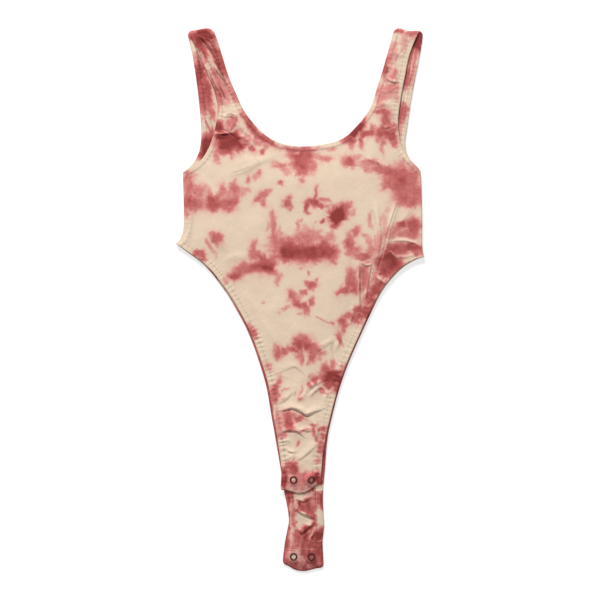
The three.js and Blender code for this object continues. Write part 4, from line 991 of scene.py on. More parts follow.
def attribute(obj, name, values):
    values = np.asarray(values, np.float32)
    if values.ndim == 1:
        obj.data.attributes.new(name, "FLOAT", "POINT").data.foreach_set("value", values)
    else:
        obj.data.attributes.new(name, "FLOAT_VECTOR", "POINT").data.foreach_set("vector", values.ravel())


def cloth_mesh(name, mid, out, thick, tris, pinched, dye, seam_y=(), seam_normal=None, painted_shade=None):
    """A closed sheet of cloth about a middle surface. out is the direction of each point's outer
    side, and the two sides meet where pinched is true."""
    n = len(mid)
    painted_shade = np.zeros(n) if painted_shade is None else painted_shade
    outer = mid + out * thick[:, None] / 2
    inner = mid - out * thick[:, None] / 2
    outer[pinched] = mid[pinched]
    twin = np.arange(n)
    keep = np.nonzero(~pinched)[0]
    twin[keep] = n + np.arange(len(keep))
    verts = np.vstack([outer, inner[keep]])
    tris = np.asarray(tris)
    faces = [tuple(t) for t in tris] + [(twin[a], twin[c], twin[b]) for a, b, c in tris]
    faces = [tuple(int(i) for i in f) for f in faces]
    directed = set()
    for a, b, c in tris:
        directed.update(((a, b), (b, c), (c, a)))
    walls = []
    for a, b in directed:
        if (b, a) in directed or (pinched[a] and pinched[b]):
            continue
        a, b, ta, tb = int(a), int(b), int(twin[a]), int(twin[b])
        ring = [b, a, ta, tb]
        ring = [v for i, v in enumerate(ring) if v not in ring[:i]]
        walls.append(tuple(ring))
    flat = range(len(faces), len(faces) + len(walls))
    obj = mesh_object(name, verts * MM, faces + walls, flat)
    both = np.concatenate([np.arange(n), keep])
    attribute(obj, "dye", dye[both])
    attribute(obj, "rest", verts * MM)
    # painted shade, passed to the material: darker along the sharp folds, the hems' stitch grooves and the rolled edges
    attribute(obj, "painted_shade", painted_shade[both])
    if len(seam_y) and seam_normal is not None:
        mesh = obj.data
        loops = np.zeros((len(mesh.loops), 3))
        lv = np.zeros(len(mesh.loops), int)
        mesh.loops.foreach_get("vertex_index", lv)
        starts = np.zeros(len(mesh.polygons), int)
        totals = np.zeros(len(mesh.polygons), int)
        mesh.polygons.foreach_get("loop_start", starts)
        mesh.polygons.foreach_get("loop_total", totals)
        of_face = np.repeat(np.arange(len(starts)), totals)
        y = verts[lv, 1]
        on = np.zeros(len(lv), bool)
        for value in seam_y:
            on |= np.abs(y - value) < 0.01
        on &= of_face < len(faces)
        on &= ~pinched[both][lv]
        which = np.nonzero(on)[0]
        normals = seam_normal(verts[lv[which]])
        sign = np.where(lv[which] < n, 1.0, -1.0)
        up = np.sign(out[both[lv[which]], 2])
        loops[which] = normals * (sign * up)[:, None]
        mesh.normals_split_custom_set([tuple(v) for v in loops])
    return obj


def slope_normal(layer):
    def at(p):
        e = 0.5
        xy = p[:, :2]
        dx = layer.at(xy + (e, 0))[0] - layer.at(xy - (e, 0))[0]
        dy = layer.at(xy + (0, e))[0] - layer.at(xy - (0, e))[0]
        n = np.column_stack([-dx / (2 * e), -dy / (2 * e), np.ones(len(p))])
        return n / np.linalg.norm(n, axis=1)[:, None]

    return at


STEPS = (0.0, 0.15, 0.45, 0.9, 1.7, 2.8, 3.9, 5.0, 5.6, 6.1, 6.5, 6.95, 7.7, 9.0)


def strap_columns(xn, xa):
    """x of a strap's columns from its neck edge to its arm edge, close together near the edges."""
    way = 1.0 if xa > xn else -1.0
    a = xn + way * np.array(STEPS)
    b = (xa - way * np.array(STEPS))[::-1]
    mid = a[-1] + (b[0] - a[-1]) * np.linspace(0, 1, 36)[1:-1]
    return np.concatenate([a, mid, b])


def edge_lines(layer, names):
    return [layer.edges.curves[n][0] for n in names]


def steep(line, left):
    """The side of a neckline towards one shoulder, or an armhole's upper part."""
    low = line[:, 1].argmin()
    part = line[: low + 1] if left else line[low:]
    return part


STRAPS = {}
for side, left in (("left", True), ("right", False)):
    tag = "arm_l" if left else "arm_r"
    lines = {}
    for key, layer in (("front", FRONT), ("back", BACK)):
        neck, arm = edge_lines(layer, ("neck", tag))
        neck = steep(neck, left)
        neck = neck[neck[:, 1] > 205]
        arm = arm[arm[:, 1] > 212]
        lines[key] = (neck, arm)
    STRAPS[side] = lines


def cut_columns(side, key, y=STRAP_FOLD_Y):
    neck, arm = STRAPS[side][key]
    return strap_columns(float(x_at(neck, y)), float(x_at(arm, y)))


def body_points(layer, tail_cut, creases, folds, interior, tail_interior, narrow_y):
    """The outline and the inner points of a front or back sheet below the straps."""
    key = "back" if layer.back else "front"
    c = {k: v[0] for k, v in layer.edges.curves.items()}
    step = 1.3
    neck = respace(clipped(c["neck"], -999, STRAP_FOLD_Y), step)
    arm_l = respace(clipped(c["arm_l"], -999, STRAP_FOLD_Y), step)
    arm_r = respace(clipped(c["arm_r"], -999, STRAP_FOLD_Y), step)
    left_cut = np.sort(cut_columns("left", key))
    right_cut = np.sort(cut_columns("right", key))
    leg_l = [respace(clipped(c["leg_l"], tail_cut, 999), step), respace(clipped(c["leg_l"], -999, tail_cut), 1.1)]
    leg_r = [respace(clipped(c["leg_r"], tail_cut, 999), step), respace(clipped(c["leg_r"], -999, tail_cut), 1.1)]
    end = respace(c["end"], 1.1)
    chain = [
        neck,
        np.column_stack([right_cut, np.full(len(right_cut), STRAP_FOLD_Y)]),
        arm_r,
        respace(c["side_r"], 1.6),
        leg_r[0],
        leg_r[1],
        end[::-1],
        leg_l[1][::-1],
        leg_l[0][::-1],
        respace(c["side_l"], 1.6)[::-1],
        arm_l[::-1],
        np.column_stack([left_cut, np.full(len(left_cut), STRAP_FOLD_Y)]),
    ]
    loop = []
    for part in chain:
        for p in part:
            if not loop or np.hypot(*(p - loop[-1])) > 0.25:
                loop.append(p)
            elif np.any(np.abs(p[1] - np.array([STRAP_FOLD_Y, tail_cut])) < 1e-6):
                loop[-1] = p
    if np.hypot(*(loop[0] - loop[-1])) < 0.25:
        loop.pop()
    loop = np.array(loop)[::-1]
    # points in lines beside each edge
    rows = []
    for name, (line, side, kind) in layer.edges.curves.items():
        base = respace(line, step)
        n = normals2(base, side)
        width = hem_width(base[:, 1], layer.back)
        if kind == SIDE:
            offs = [np.full(len(base), v) for v in (0.2, 0.6, 1.2, 2.0, 3.1, 4.6, 6.4)]
        elif kind == END:
            offs = [np.full(len(base), v) for v in (0.15, 0.45, 0.9, 1.7, 2.9, 4.2)]
        else:
            offs = [np.full(len(base), v) for v in (0.15, 0.45, 0.9, 1.7, 2.8)]
            offs += [2.8 + (width - 2.8) * k for k in (0.3, 0.55)]
            offs += [width + v for v in (-0.9, -0.5, -0.1, 0.35, 1.1, 2.3)]
            if layer.back:
                offs.append(2.8 + (width - 2.8) * 0.75)
        for off in offs:
            p = base + n * off[:, None]
            ok = (p[:, 1] < STRAP_FOLD_Y - 0.5) & (np.abs(p[:, 1] - tail_cut) > 0.45)
            p, off = p[ok], off[ok]
            d = layer.edges.look(p)[0]
            rows.append(p[d > off - 0.07])
    x0, x1 = loop[:, 0].min(), loop[:, 0].max()
    y0, y1 = loop[:, 1].min(), loop[:, 1].max()
    for g, low, high, fine in ((tail_interior, y0, narrow_y, False), (interior, narrow_y, y1, False), (0.85, y0, y1, True)):
        ys = np.arange(low, high, g * 0.866)
        xs = np.arange(x0, x1, g)
        gx, gy = np.meshgrid(xs, ys)
        gx = gx + (np.arange(len(ys)) % 2)[:, None] * g / 2
        p = np.column_stack([gx.ravel(), gy.ravel()])
        p = p[(np.abs(p[:, 1] - tail_cut) > 0.6 * g) & (p[:, 1] < STRAP_FOLD_Y - 0.6 * g)]
        p = p[inside(loop, p)]
        d, _, kind = layer.edges.look(p)
        width = np.where(kind == HEM, hem_width(p[:, 1], layer.back) + 2.3, np.where(kind == SIDE, 6.4, 4.2))
        p = p[d > width + 0.55 * g]
        rows.append(p[near_folds(p, creases, folds) == fine])
    inner = np.vstack(rows)
    inner = inner[inside(loop, inner)]
    # one line straight across at the tail cut
    on = np.nonzero(np.abs(loop[:, 1] - tail_cut) < 1e-6)[0]
    ends = loop[on]
    a, b = ends[ends[:, 0].argmin()], ends[ends[:, 0].argmax()]
    offs = [v for v in (0.15, 0.45, 0.9, 1.7, 2.8, 3.9, 5.0, 5.7, 6.1, 6.5, 6.95, 7.7, 9.0, 9.9, 10.4, 10.8, 11.6)]
    xs = [a[0] + v for v in offs] + [b[0] - v for v in offs]
    xs += list(np.arange(a[0] + 12.9, b[0] - 12.4, 1.3))
    cut = np.column_stack([np.sort(xs), np.full(len(xs), tail_cut)])
    return loop, inner, cut, (int(on[ends[:, 0].argmin()]), int(on[ends[:, 0].argmax()]))


def triangulate(loop, inner, cut, cut_ends):
    pts = np.vstack([loop, cut, inner])
    n, m = len(loop), len(cut)
    chain = [cut_ends[0]] + list(range(n, n + m)) + [cut_ends[1]]
    edges = [(chain[i], chain[i + 1]) for i in range(len(chain) - 1)]
    v, _, f, _, _, _ = delaunay_2d_cdt(
        [Vector((float(x), float(y))) for x, y in pts],
        edges + [(i, (i + 1) % n) for i in range(n)], [], 0, 1e-5, True
    )
    v = np.array([(p.x, p.y) for p in v])
    f = np.array([t for t in f if len(t) == 3])
    a, b, c = v[f[:, 0]], v[f[:, 1]], v[f[:, 2]]
    area = (b[:, 0] - a[:, 0]) * (c[:, 1] - a[:, 1]) - (c[:, 0] - a[:, 0]) * (b[:, 1] - a[:, 1])
    f[area < 0] = f[area < 0][:, ::-1]
    f = f[np.abs(area) > 1e-7]
    return v, f[inside(loop, v[f].mean(1))]


def take(v, f, keep):
    f = f[keep]
    used, index = np.unique(f, return_inverse=True)
    return v[used], index.reshape(-1, 3)


def flat_area(v, f):
    a, b, c = v[f[:, 0]], v[f[:, 1]], v[f[:, 2]]
    return float(np.abs((b[:, 0] - a[:, 0]) * (c[:, 1] - a[:, 1]) - (c[:, 0] - a[:, 0]) * (b[:, 1] - a[:, 1])).sum() / 2)


AREAS = {}


def painted_crease_shade(layer, v):
    """Painted shade, 0 to 1: the cloth's colour is darkened along the sharp folds, the hems' stitch grooves and the
    rolled edges, where shade falls.
    """
    d, _, kind = layer.edges.look(v)
    width = hem_width(v[:, 1], layer.back)
    fold = np.clip(fold_depth(v, BACK_FOLD_LINES if layer.back else FRONT_FOLD_LINES, 0.8), 0, 1)
    fold *= 1 + 0.4 * smoothstep(200, 235, v[:, 1])
    seam = np.where(kind == HEM, 0.55 * np.exp(-(((d - width + 0.5) / 0.75) ** 2)), 0)
    edge = 0.75 * np.exp(-((d / 0.8) ** 2))
    return np.maximum(fold, np.maximum(seam, edge))


def body_cloth(name, layer, v, f, dye, seams, downwards):
    z, t, d, kind, _ = layer.at(v)
    mid = np.column_stack([v, z])
    out = np.zeros((len(v), 3))
    out[:, 2] = -1.0 if downwards else 1.0
    tris = f[:, ::-1] if downwards else f
    AREAS[name] = flat_area(v, f) * 1e-6
    return cloth_mesh(name, mid, out, t, tris, t < 0.02, dye(v), seams, slope_normal(layer), painted_crease_shade(layer, v))


loop, inner, cut, ends = body_points(FRONT, TAB_FOLD_Y, FRONT_CREASES, FRONT_FOLD_LINES, 1.8, 1.35, -90)
fv, ff = triangulate(loop, inner, cut, ends)
mid_y = fv[ff].mean(1)[:, 1]
body_v, body_f = take(fv, ff, mid_y > TAB_FOLD_Y)
tab_v, tab_f = take(fv, ff, mid_y < TAB_FOLD_Y)
front_body = body_cloth("front_body_cloth", FRONT, body_v, body_f, front_dye, (STRAP_FOLD_Y, TAB_FOLD_Y), False)
front_tab = body_cloth("front_tab_cloth", FRONT, tab_v, tab_f, front_dye, (TAB_FOLD_Y,), False)
loop, inner, cut, ends = body_points(BACK, TAIL_FOLD_Y, BACK_CREASES, BACK_FOLD_LINES, 2.3, 1.2, -215)
bv, bf = triangulate(loop, inner, cut, ends)
mid_y = bv[bf].mean(1)[:, 1]
back_v, back_f = take(bv, bf, mid_y > TAIL_FOLD_Y)
tail_v, tail_f = take(bv, bf, mid_y < TAIL_FOLD_Y)
back_body = body_cloth("back_body_cloth", BACK, back_v, back_f, back_dye, (STRAP_FOLD_Y, TAIL_FOLD_Y), True)
back_tail = body_cloth("back_tail_cloth", BACK, tail_v, tail_f, back_dye, (TAIL_FOLD_Y,), True)

# ------------------------------------------------------------------ straps
TOPS = {
    "left": [(-141.5, 330), (-140.4, 332.2), (-138, 333.9), (-135, 335.2), (-128, 336.4), (-120, 337.8), (-114.5, 338.6), (-111, 338), (-108.2, 335.4), (-106.2, 331.5), (-105.2, 329)],
    "right": [(115.5, 330), (116.8, 333.6), (119, 336.8), (122, 338.6), (126, 338), (131, 336.2), (137.5, 335), (145, 335.2), (149.5, 334.6), (152, 331.8), (153.4, 328.5)],
}
R_FOLD = 2.7


def strap_grid(side):
    """Middle surface, outward direction, thickness and dye of a whole strap, front and back."""
    top_x, top_y = np.array(TOPS[side]).T
    (nf, af), (nb, ab) = STRAPS[side]["front"], STRAPS[side]["back"]
    cols = len(cut_columns(side, "front"))
    u = np.arange(cols)

    def x_of(pair, y):
        """x for each column at that column's own y."""
        xn, xa = x_at(pair[0], y), x_at(pair[1], y)
        return np.array([strap_columns(float(n), float(a))[i] for i, (n, a) in enumerate(zip(xn, xa))])

    xt = 0.5 * (x_of((nf, af), np.full(cols, 331.0)) + x_of((nb, ab), np.full(cols, 331.0)))
    y_top = np.interp(xt, top_x, top_y)
    y_fold = y_top - R_FOLD
    rows = 130
    mids, outs, ths, dyes = [], [], [], []
    ends_of = {}
    for key, layer, pair, dye, up in (("front", FRONT, (nf, af), front_dye, 1.0), ("back", BACK, (nb, ab), back_dye, -1.0)):
        a = np.linspace(0, 1, rows)
        block = []
        for t in a:
            y = STRAP_FOLD_Y + t * (y_fold - STRAP_FOLD_Y)
            x = x_of(pair, y)
            block.append(np.column_stack([x, y]))
        block = np.array(block)
        flat = block.reshape(-1, 2)
        z, th, d, kind, _ = layer.at(flat)
        z, th, dy = z.reshape(rows, cols), th.reshape(rows, cols), dye(flat).reshape(rows, cols)
        th[:, 0] = th[:, -1] = 0
        mid = np.dstack([block, z])
        out = np.zeros_like(mid)
        out[..., 2] = up
        ends_of[key] = (mid, out, th, dy)
    m_f, o_f, t_f, d_f = ends_of["front"]
    m_b, o_b, t_b, d_b = ends_of["back"]
    arc_m, arc_o, arc_t, arc_d = [], [], [], []
    steps = 12
    top, low = m_f[-1], m_b[-1]
    for k in range(1, steps):
        a = math.pi / 2 - math.pi * k / steps
        w = (1 - math.sin(a)) / 2
        m = top * (1 + math.sin(a)) / 2 + low * (1 - math.sin(a)) / 2
        crumple = 0.35 * noise(top[:, 0], np.full(cols, 9.0 * a), 5, 91)
        m = m.copy()
        m[:, 1] = (top[:, 1] * (1 - w) + low[:, 1] * w) + (R_FOLD + crumple * math.cos(a)) * math.cos(a)
        arc_m.append(m)
        arc_o.append(np.tile([0, math.cos(a), math.sin(a)], (cols, 1)))
        arc_t.append(t_f[-1] * (1 - w) + t_b[-1] * w)
        arc_d.append(d_f[-1] * (1 - w) + d_b[-1] * w)
    mid = np.concatenate([m_f, np.array(arc_m), m_b[::-1]])
    out = np.concatenate([o_f, np.array(arc_o), o_b[::-1]])
    th = np.concatenate([t_f, np.array(arc_t), t_b[::-1]])
    dye = np.concatenate([d_f, np.array(arc_d), d_b[::-1]])
    return mid, out, th, dye, rows


def grid_faces(rows, cols, flip):
    i, j = np.meshgrid(np.arange(rows - 1), np.arange(cols - 1), indexing="ij")
    a = (i * cols + j).ravel()
    b, c, d = a + 1, a + cols + 1, a + cols
    tris = np.concatenate([np.column_stack([a, b, c]), np.column_stack([a, c, d])])
    return tris[:, ::-1] if flip else tris


# painted shade along the strap's folds and edges, taken from the front layer above and the back layer below
def strap_painted_shade(p):
    return np.where(p[:, 2] > 2.6, painted_crease_shade(FRONT, p[:, :2]), painted_crease_shade(BACK, p[:, :2]))


strap_cloth, strap_grids = {}, {}
for side in ("left", "right"):
    mid, out, th, dye, rows = strap_grid(side)
    R, C = mid.shape[:2]
    pinched = np.zeros((R, C), bool)
    pinched[:, 0] = pinched[:, -1] = True
    # along a row the columns run from the neck edge outwards: to -X on the left strap
    tris = grid_faces(R, C, side == "left")

    def strap_normal(p, f=slope_normal(FRONT), b=slope_normal(BACK)):
        return np.where((p[:, 2] > 2.6)[:, None], f(p), b(p))

    strap_cloth[side] = cloth_mesh(
        side + "_strap_cloth", mid.reshape(-1, 3), out.reshape(-1, 3), th.ravel(), tris, pinched.ravel(), dye.ravel(),
        (STRAP_FOLD_Y,), strap_normal, strap_painted_shade(mid.reshape(-1, 3)),
    )
    strap_grids[side] = (mid, out, th)
    step = np.linalg.norm(np.diff(mid, axis=0), axis=2).sum(0).mean()
    wide = np.linalg.norm(np.diff(mid, axis=1), axis=2).sum(1).mean()
    AREAS[side + "_strap_cloth"] = (step * wide * 1e-6, wide * 1e-3, step * 1e-3)

# ------------------------------------------------------------------ linings, facings and seams
def subset(v, f, keep_vertex):
    return take(v, f, keep_vertex[f].all(1))


def applied(name, v, f, layer, above, thick, dye_value, rough=0.0):
    """A thin second layer lying on a sheet's inner or outer face."""
    z, t, d, kind, _ = layer.at(v)
    mid = np.column_stack([v, z + above + rough])
    out = np.zeros((len(v), 3))
    out[:, 2] = 1
    th = np.full(len(v), thick)
    AREAS[name] = flat_area(v, f) * 1e-6
    return cloth_mesh(name, mid, out, th, f, np.zeros(len(v), bool), dye_value)


d_back, _, kind_back = back_edges.look(bv)
w_back = hem_width(bv[:, 1], True)
tuck = np.where(kind_back == HEM, w_back - 1.0, 1.2)
lv, lf = subset(bv, bf, (bv[:, 1] > -310.6) & (bv[:, 1] < -181) & (d_back >= tuck))
lining = applied("lining_cloth", lv, lf, BACK, 0.85, 0.6, back_dye(lv) * 0.97)
tv, tf = subset(bv, bf, (bv[:, 1] < -309.6) & (d_back >= tuck))
tail_facing = applied("tail_facing_cloth", tv, tf, BACK, 0.98, 0.7, back_dye(tv))
d_front, _, _ = front_edges.look(fv)
kv, kf = subset(fv, ff, (fv[:, 1] < -212) & (fv[:, 1] > -234.6) & (fv[:, 0] > -15) & (fv[:, 0] < 19.8) & (d_front > 1.5))
tab_facing = applied("tab_facing_cloth", kv, kf, FRONT, -0.95, 0.6, front_dye(kv))

seam_cloth = {}
for side, tag in (("left", "side_l"), ("right", "side_r")):
    line, way, _ = front_edges.curves[tag]
    line = respace(line, 1.5)
    line = line[2:-3]
    n = normals2(line, way)
    grid = []
    for off in (1.9, 2.3, 3.2, 4.2, 5.2, 6.2, 7.0, 7.4):
        p = line + n * off
        zf, tf_, *_ = FRONT.at(p)
        zb, tb_, *_ = BACK.at(p)
        low, high = zb + tb_ / 2, zf - tf_ / 2
        k = smoothstep(1.9, 7.4, np.full(len(p), off))
        z = low + (high - low) * (0.5 - 0.12 * k) + 0.25 * np.sin(line[:, 1] / 3.1 + off * 0.4)
        th = np.minimum(0.9, np.maximum(0.25, (high - low) * 0.5))
        grid.append((np.column_stack([p, z]), th))
    mid = np.array([g[0] for g in grid]).reshape(-1, 3)
    th = np.array([g[1] for g in grid]).ravel()
    tris = grid_faces(len(grid), len(line), side == "left")
    a, b, c = mid[tris[:, 0]], mid[tris[:, 1]], mid[tris[:, 2]]
    if np.cross(b - a, c - a)[:, 2].sum() < 0:
        tris = tris[:, ::-1]
    out = np.tile([0, 0, 1.0], (len(mid), 1))
    name = side + "_side_seam_cloth"
    seam_cloth[side] = cloth_mesh(name, mid, out, th, tris, np.zeros(len(mid), bool), np.full(len(mid), 0.25))
    AREAS[name] = flat_area(mid[:, :2], tris) * 1e-6


# ------------------------------------------------------------------ stitching
def capsule(a, b, up, r):
    """A short thick stitch from a to b that dips into the cloth at both ends."""
    axis = b - a
    length = np.linalg.norm(axis)
    axis = axis / max(length, 1e-9)
    cross = np.cross(up, axis)
    cross /= max(np.linalg.norm(cross), 1e-9)
    up2 = np.cross(axis, cross)
    rings, sides = 6, 6
    verts = []
    for i in range(rings):
        t = i / (rings - 1)
        c = a + axis * length * t + up2 * (0.13 * math.sin(math.pi * t) - 0.10)
        rr = r * (0.35 + 0.65 * math.sin(math.pi * (0.08 + 0.84 * t)) ** 0.5)
        for k in range(sides):
            w = 2 * math.pi * k / sides
            verts.append(c + rr * (math.cos(w) * cross + math.sin(w) * up2))
    faces = []
    for i in range(rings - 1):
        for k in range(sides):
            p, q = i * sides + k, i * sides + (k + 1) % sides
            faces.append((p, q, q + sides, p + sides))
    faces.append(tuple(range(sides))[::-1])
    faces.append(tuple(range((rings - 1) * sides, rings * sides)))
    return verts, faces


def row_of(line, pitch=3.0, length=2.15):
    """End points of the stitches along a line."""
    step = np.linalg.norm(np.diff(line, axis=0), axis=1)
    s = np.concatenate([[0], np.cumsum(step)])
    starts = np.arange(0.6, s[-1] - length, pitch)
    ends_ = starts + length

    def at(t):
        return np.column_stack([np.interp(t, s, line[:, k]) for k in range(line.shape[1])])

    return at(starts), at(ends_)


def stitch_mesh(name, rows, dye, r=0.2):
    verts, faces, base = [], [], 0
    for a, b, up in rows:
        for p, q, u in zip(a, b, up):
            v, f = capsule(p, q, u, r)
            verts.extend(v)
            faces.extend(tuple(i + base for i in face) for face in f)
            base += len(v)
    verts = np.array(verts)
    obj = mesh_object(name, verts * MM, faces)
    attribute(obj, "dye", dye(verts))
    attribute(obj, "rest", verts * MM)
    return obj


def front_thread(p):
    return 0.85 * front_dye(p[:, :2])


def back_thread(p):
    return 0.85 * back_dye(p[:, :2])


def strap_thread(p):
    return 0.85 * np.where(p[:, 2] > 2.6, front_dye(p[:, :2]), back_dye(p[:, :2]))


def sheet_row(layer, line, face=1.0, lift=0.0, pitch=3.0):
    a, b = row_of(line, pitch)
    out = []
    for p in (a, b):
        z, t, *_ = layer.at(p)
        out.append(np.column_stack([p, z + face * (t / 2 + lift)]))
    up = np.tile([0, 0, face], (len(a), 1))
    return out[0], out[1], up


def offset_line(layer, name, off, low, high):
    line, way, _ = layer.edges.curves[name]
    line = respace(line, 1.0)
    n = normals2(line, way)
    width = off(line[:, 1]) if callable(off) else off
    p = line + n * np.reshape(width, (-1, 1)) if np.ndim(width) else line + n * width
    d = layer.edges.look(p)[0]
    p = p[(d > np.min(width) - 0.4) & (p[:, 1] > low) & (p[:, 1] < high)]
    return p


def broken(line, gap=4.0):
    step = np.linalg.norm(np.diff(line, axis=0), axis=1)
    cuts = np.nonzero(step > gap)[0] + 1
    return [part for part in np.split(line, cuts) if len(part) > 4]


def rows_on(layer, names, offs, low, high, face=1.0, lift=0.0):
    found = []
    for name in names:
        for off in offs:
            for part in broken(offset_line(layer, name, off, low, high)):
                found.append(sheet_row(layer, part, face, lift))
    return found


HEMS = ("neck", "arm_l", "arm_r", "leg_l", "leg_r")
stitch = {}
stitch["front_body_stitches"] = stitch_mesh("front_body_stitches", rows_on(FRONT, HEMS, (6.15,), TAB_FOLD_Y + 0.6, STRAP_FOLD_Y - 0.8), front_thread)
tab_rows = rows_on(FRONT, ("leg_l", "leg_r"), (6.15,), -231, TAB_FOLD_Y - 0.6)
tab_rows.append(sheet_row(FRONT, respace(np.array([(-23.0, -214.3), (-8, -215.2), (8, -215.4), (25.5, -213.8)]), 1.0)))
stitch["front_tab_stitches"] = stitch_mesh("front_tab_stitches", tab_rows, front_thread)
back_out = rows_on(BACK, HEMS, (lambda y: hem_width(y, True) - 0.5,), TAIL_FOLD_Y + 0.6, STRAP_FOLD_Y - 0.8, -1.0)
back_in = rows_on(BACK, HEMS, (lambda y: hem_width(y, True) - 0.5,), TAIL_FOLD_Y + 0.6, STRAP_FOLD_Y - 0.8, 1.0)
stitch["back_body_stitches"] = stitch_mesh("back_body_stitches", back_out + back_in, back_thread)
tail_rows = []
for face in (1.0, -1.0):
    tail_rows += rows_on(BACK, ("leg_l", "leg_r"), (9.7, 6.3), -334, TAIL_FOLD_Y - 0.6, face)
tail_rows.append(sheet_row(BACK, respace(np.array([(-19.5, -311.4), (0, -311.8), (24.0, -311.2)]), 1.0), 1.0, 0.95))
stitch["back_tail_stitches"] = stitch_mesh("back_tail_stitches", tail_rows, back_thread)
for side in ("left", "right"):
    mid, out, th = strap_grids[side]
    x = mid[:, :, 0]
    rows = []
    for col_d, ref in ((6.15, 0), (6.15, -1)):
        # the column whose distance from that edge is nearest
        dist = np.abs(x - x[:, [ref]])
        j = np.abs(dist - col_d).argmin(1)
        i = np.arange(len(mid))
        p = mid[i, j] + out[i, j] * (th[i, j] / 2)[:, None]
        step = np.linalg.norm(np.diff(p, axis=0), axis=1)
        s = np.concatenate([[0], np.cumsum(step)])
        a_s = np.arange(1.0, s[-1] - 3, 3.0)
        up_at = lambda t: np.column_stack([np.interp(t, s, out[i, j][:, k]) for k in range(3)])
        at = lambda t: np.column_stack([np.interp(t, s, p[:, k]) for k in range(3)])
        rows.append((at(a_s), at(a_s + 2.15), up_at(a_s + 1.07)))
    # the shoulder seam, on the back of the shoulder
    R = len(mid)
    for r_i in (R // 2 + 3,):
        p = mid[r_i] + out[r_i] * (th[r_i] / 2)[:, None]
        a_, b_ = row_of(p[2:-2], 2.6, 1.9)
        rows.append((a_, b_, np.tile(out[r_i][0], (len(a_), 1))))
    stitch[side + "_strap_stitches"] = stitch_mesh(side + "_strap_stitches", rows, strap_thread)


# ------------------------------------------------------------------ snaps
def tipped(verts, tilt):
    """Turned so that its plane climbs by tilt[1] along X and tilt[0] along Y."""
    up = np.array([-tilt[1], -tilt[0], 1.0])
    turn = Vector((0, 0, 1)).rotation_difference(Vector(up)).to_matrix()
    return verts @ np.array(turn).T


def lathe(name, profile, centre, sides=56, tilt=(0.0, 0.0), extra=None):
    """A turned ring from a closed (r, z) profile, smooth all round."""
    pts = np.array(profile, float)
    w = 2 * math.pi * np.arange(sides) / sides
    verts = []
    for r, z in pts:
        verts.extend(np.column_stack([r * np.cos(w), r * np.sin(w), np.full(sides, z)]))
    m = len(pts)
    faces = []
    for i in range(m):
        j = (i + 1) % m
        for k in range(sides):
            q = (k + 1) % sides
            faces.append((i * sides + k, j * sides + k, j * sides + q, i * sides + q))
    verts = np.array(verts)
    if extra is not None:
        ev, ef = extra
        faces += [tuple(i + len(verts) for i in f) for f in ef]
        verts = np.vstack([verts, ev])
    verts = tipped(verts, tilt) + np.array(centre)
    return mesh_object(name, verts * MM, faces)


RING = []
for k in range(20):
    a = 2 * math.pi * k / 20
    # a flat-bottomed ring with a rounded top, thickest outside
    r = 3.86 + 0.88 * math.cos(a)
    z = 0.48 + (0.50 if math.sin(a) > 0 else 0.42) * math.sin(a) + 0.10 * math.cos(a)
    RING.append((r, z))


def prongs(depth, top=0.85):
    """Five teeth going down through the cloth, with their small round heads showing on the ring."""
    verts, faces = [], []
    for k in range(5):
        a = 2 * math.pi * k / 5 + 0.3
        cx, cy = 3.68 * math.cos(a), 3.68 * math.sin(a)
        base = len(verts)
        prof = [(0.33, -depth), (0.33, top), (0.42, top + 0.02), (0.44, top + 0.12), (0.3, top + 0.21), (0.12, top + 0.24)]
        for r, z in prof:
            for j in range(8):
                w = 2 * math.pi * j / 8
                verts.append((cx + r * math.cos(w), cy + r * math.sin(w), z))
        for i in range(len(prof) - 1):
            for j in range(8):
                q = (j + 1) % 8
                faces.append((base + i * 8 + j, base + i * 8 + q, base + (i + 1) * 8 + q, base + (i + 1) * 8 + j))
        faces.append(tuple(base + j for j in range(8))[::-1])
        faces.append(tuple(base + (len(prof) - 1) * 8 + j for j in range(8)))
    return np.array(verts), faces


rings = {}
for tag, x, y, z, tilt, depth in (
    ("front_left_ring", -8.0, -224.0, 6.0, (0.02, 0.03), 2.6),
    ("front_right_ring", 14.0, -224.0, 6.0 + TILT_RISE, (-TILT_SLOPE * TILT[1], -TILT_SLOPE * TILT[0]), 2.6),
    ("back_left_ring", -8.0, -319.75, 5.05, (0.03, -0.02), 2.3),
    ("back_right_ring", 14.0, -319.75, 5.05, (0.0, 0.05), 2.3),
):
    rings[tag] = lathe(tag, RING, (x, y, z), tilt=tilt, extra=prongs(depth))

# the socket under the tipped ring follows it
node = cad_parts["front_right_socket"]
low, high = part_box("front_right_socket")
socket = bpy.data.objects.new("front_right_socket_tipped", node.data.copy())
bpy.context.scene.collection.objects.link(socket)
co = np.array([v.co for v in node.data.vertices], float).reshape(-1, 3)
pivot = np.array([14.0, -224.0, 5.0]) * MM
co = tipped(co - pivot, (-TILT_SLOPE * TILT[1], -TILT_SLOPE * TILT[0])) + pivot + (0, 0, TILT_RISE * MM)
socket.data.vertices.foreach_set("co", co.astype(np.float32).ravel())
socket.data.update()
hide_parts("front_right_socket")
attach(socket, "front_tab")

# ------------------------------------------------------------------ bodies
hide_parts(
    "front_panel", "front_neck_hem", "left_front_armhole_hem", "right_front_armhole_hem",
    "left_front_leg_hem", "right_front_leg_hem",
)
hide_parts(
    "back_panel", "back_neck_hem", "left_back_armhole_hem", "right_back_armhole_hem",
    "left_back_leg_hem", "right_back_leg_hem",
)
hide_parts("front_tab", "front_tab_left_hem", "front_tab_right_hem")
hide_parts("back_tail", "back_tail_left_hem", "back_tail_right_hem")
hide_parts("gusset_lining", "back_tail_lining")
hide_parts("back_tail_facing")
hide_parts("front_tab_facing")
for side in ("left", "right"):
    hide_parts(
        side + "_front_strap", side + "_back_strap", side + "_strap_neck_hem",
        side + "_strap_arm_hem", side + "_shoulder_seam",
    )
    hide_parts(side + "_side_seam")
    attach(seam_cloth[side], "torso")
for tag in rings:
    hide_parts(tag + "_cap")
    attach(rings[tag], "front_tab" if tag.startswith("front") else "back_tail")
for obj in (front_body, back_body, stitch["front_body_stitches"], stitch["back_body_stitches"]):
    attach(obj, "torso")


def bend(obj):
    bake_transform(obj)


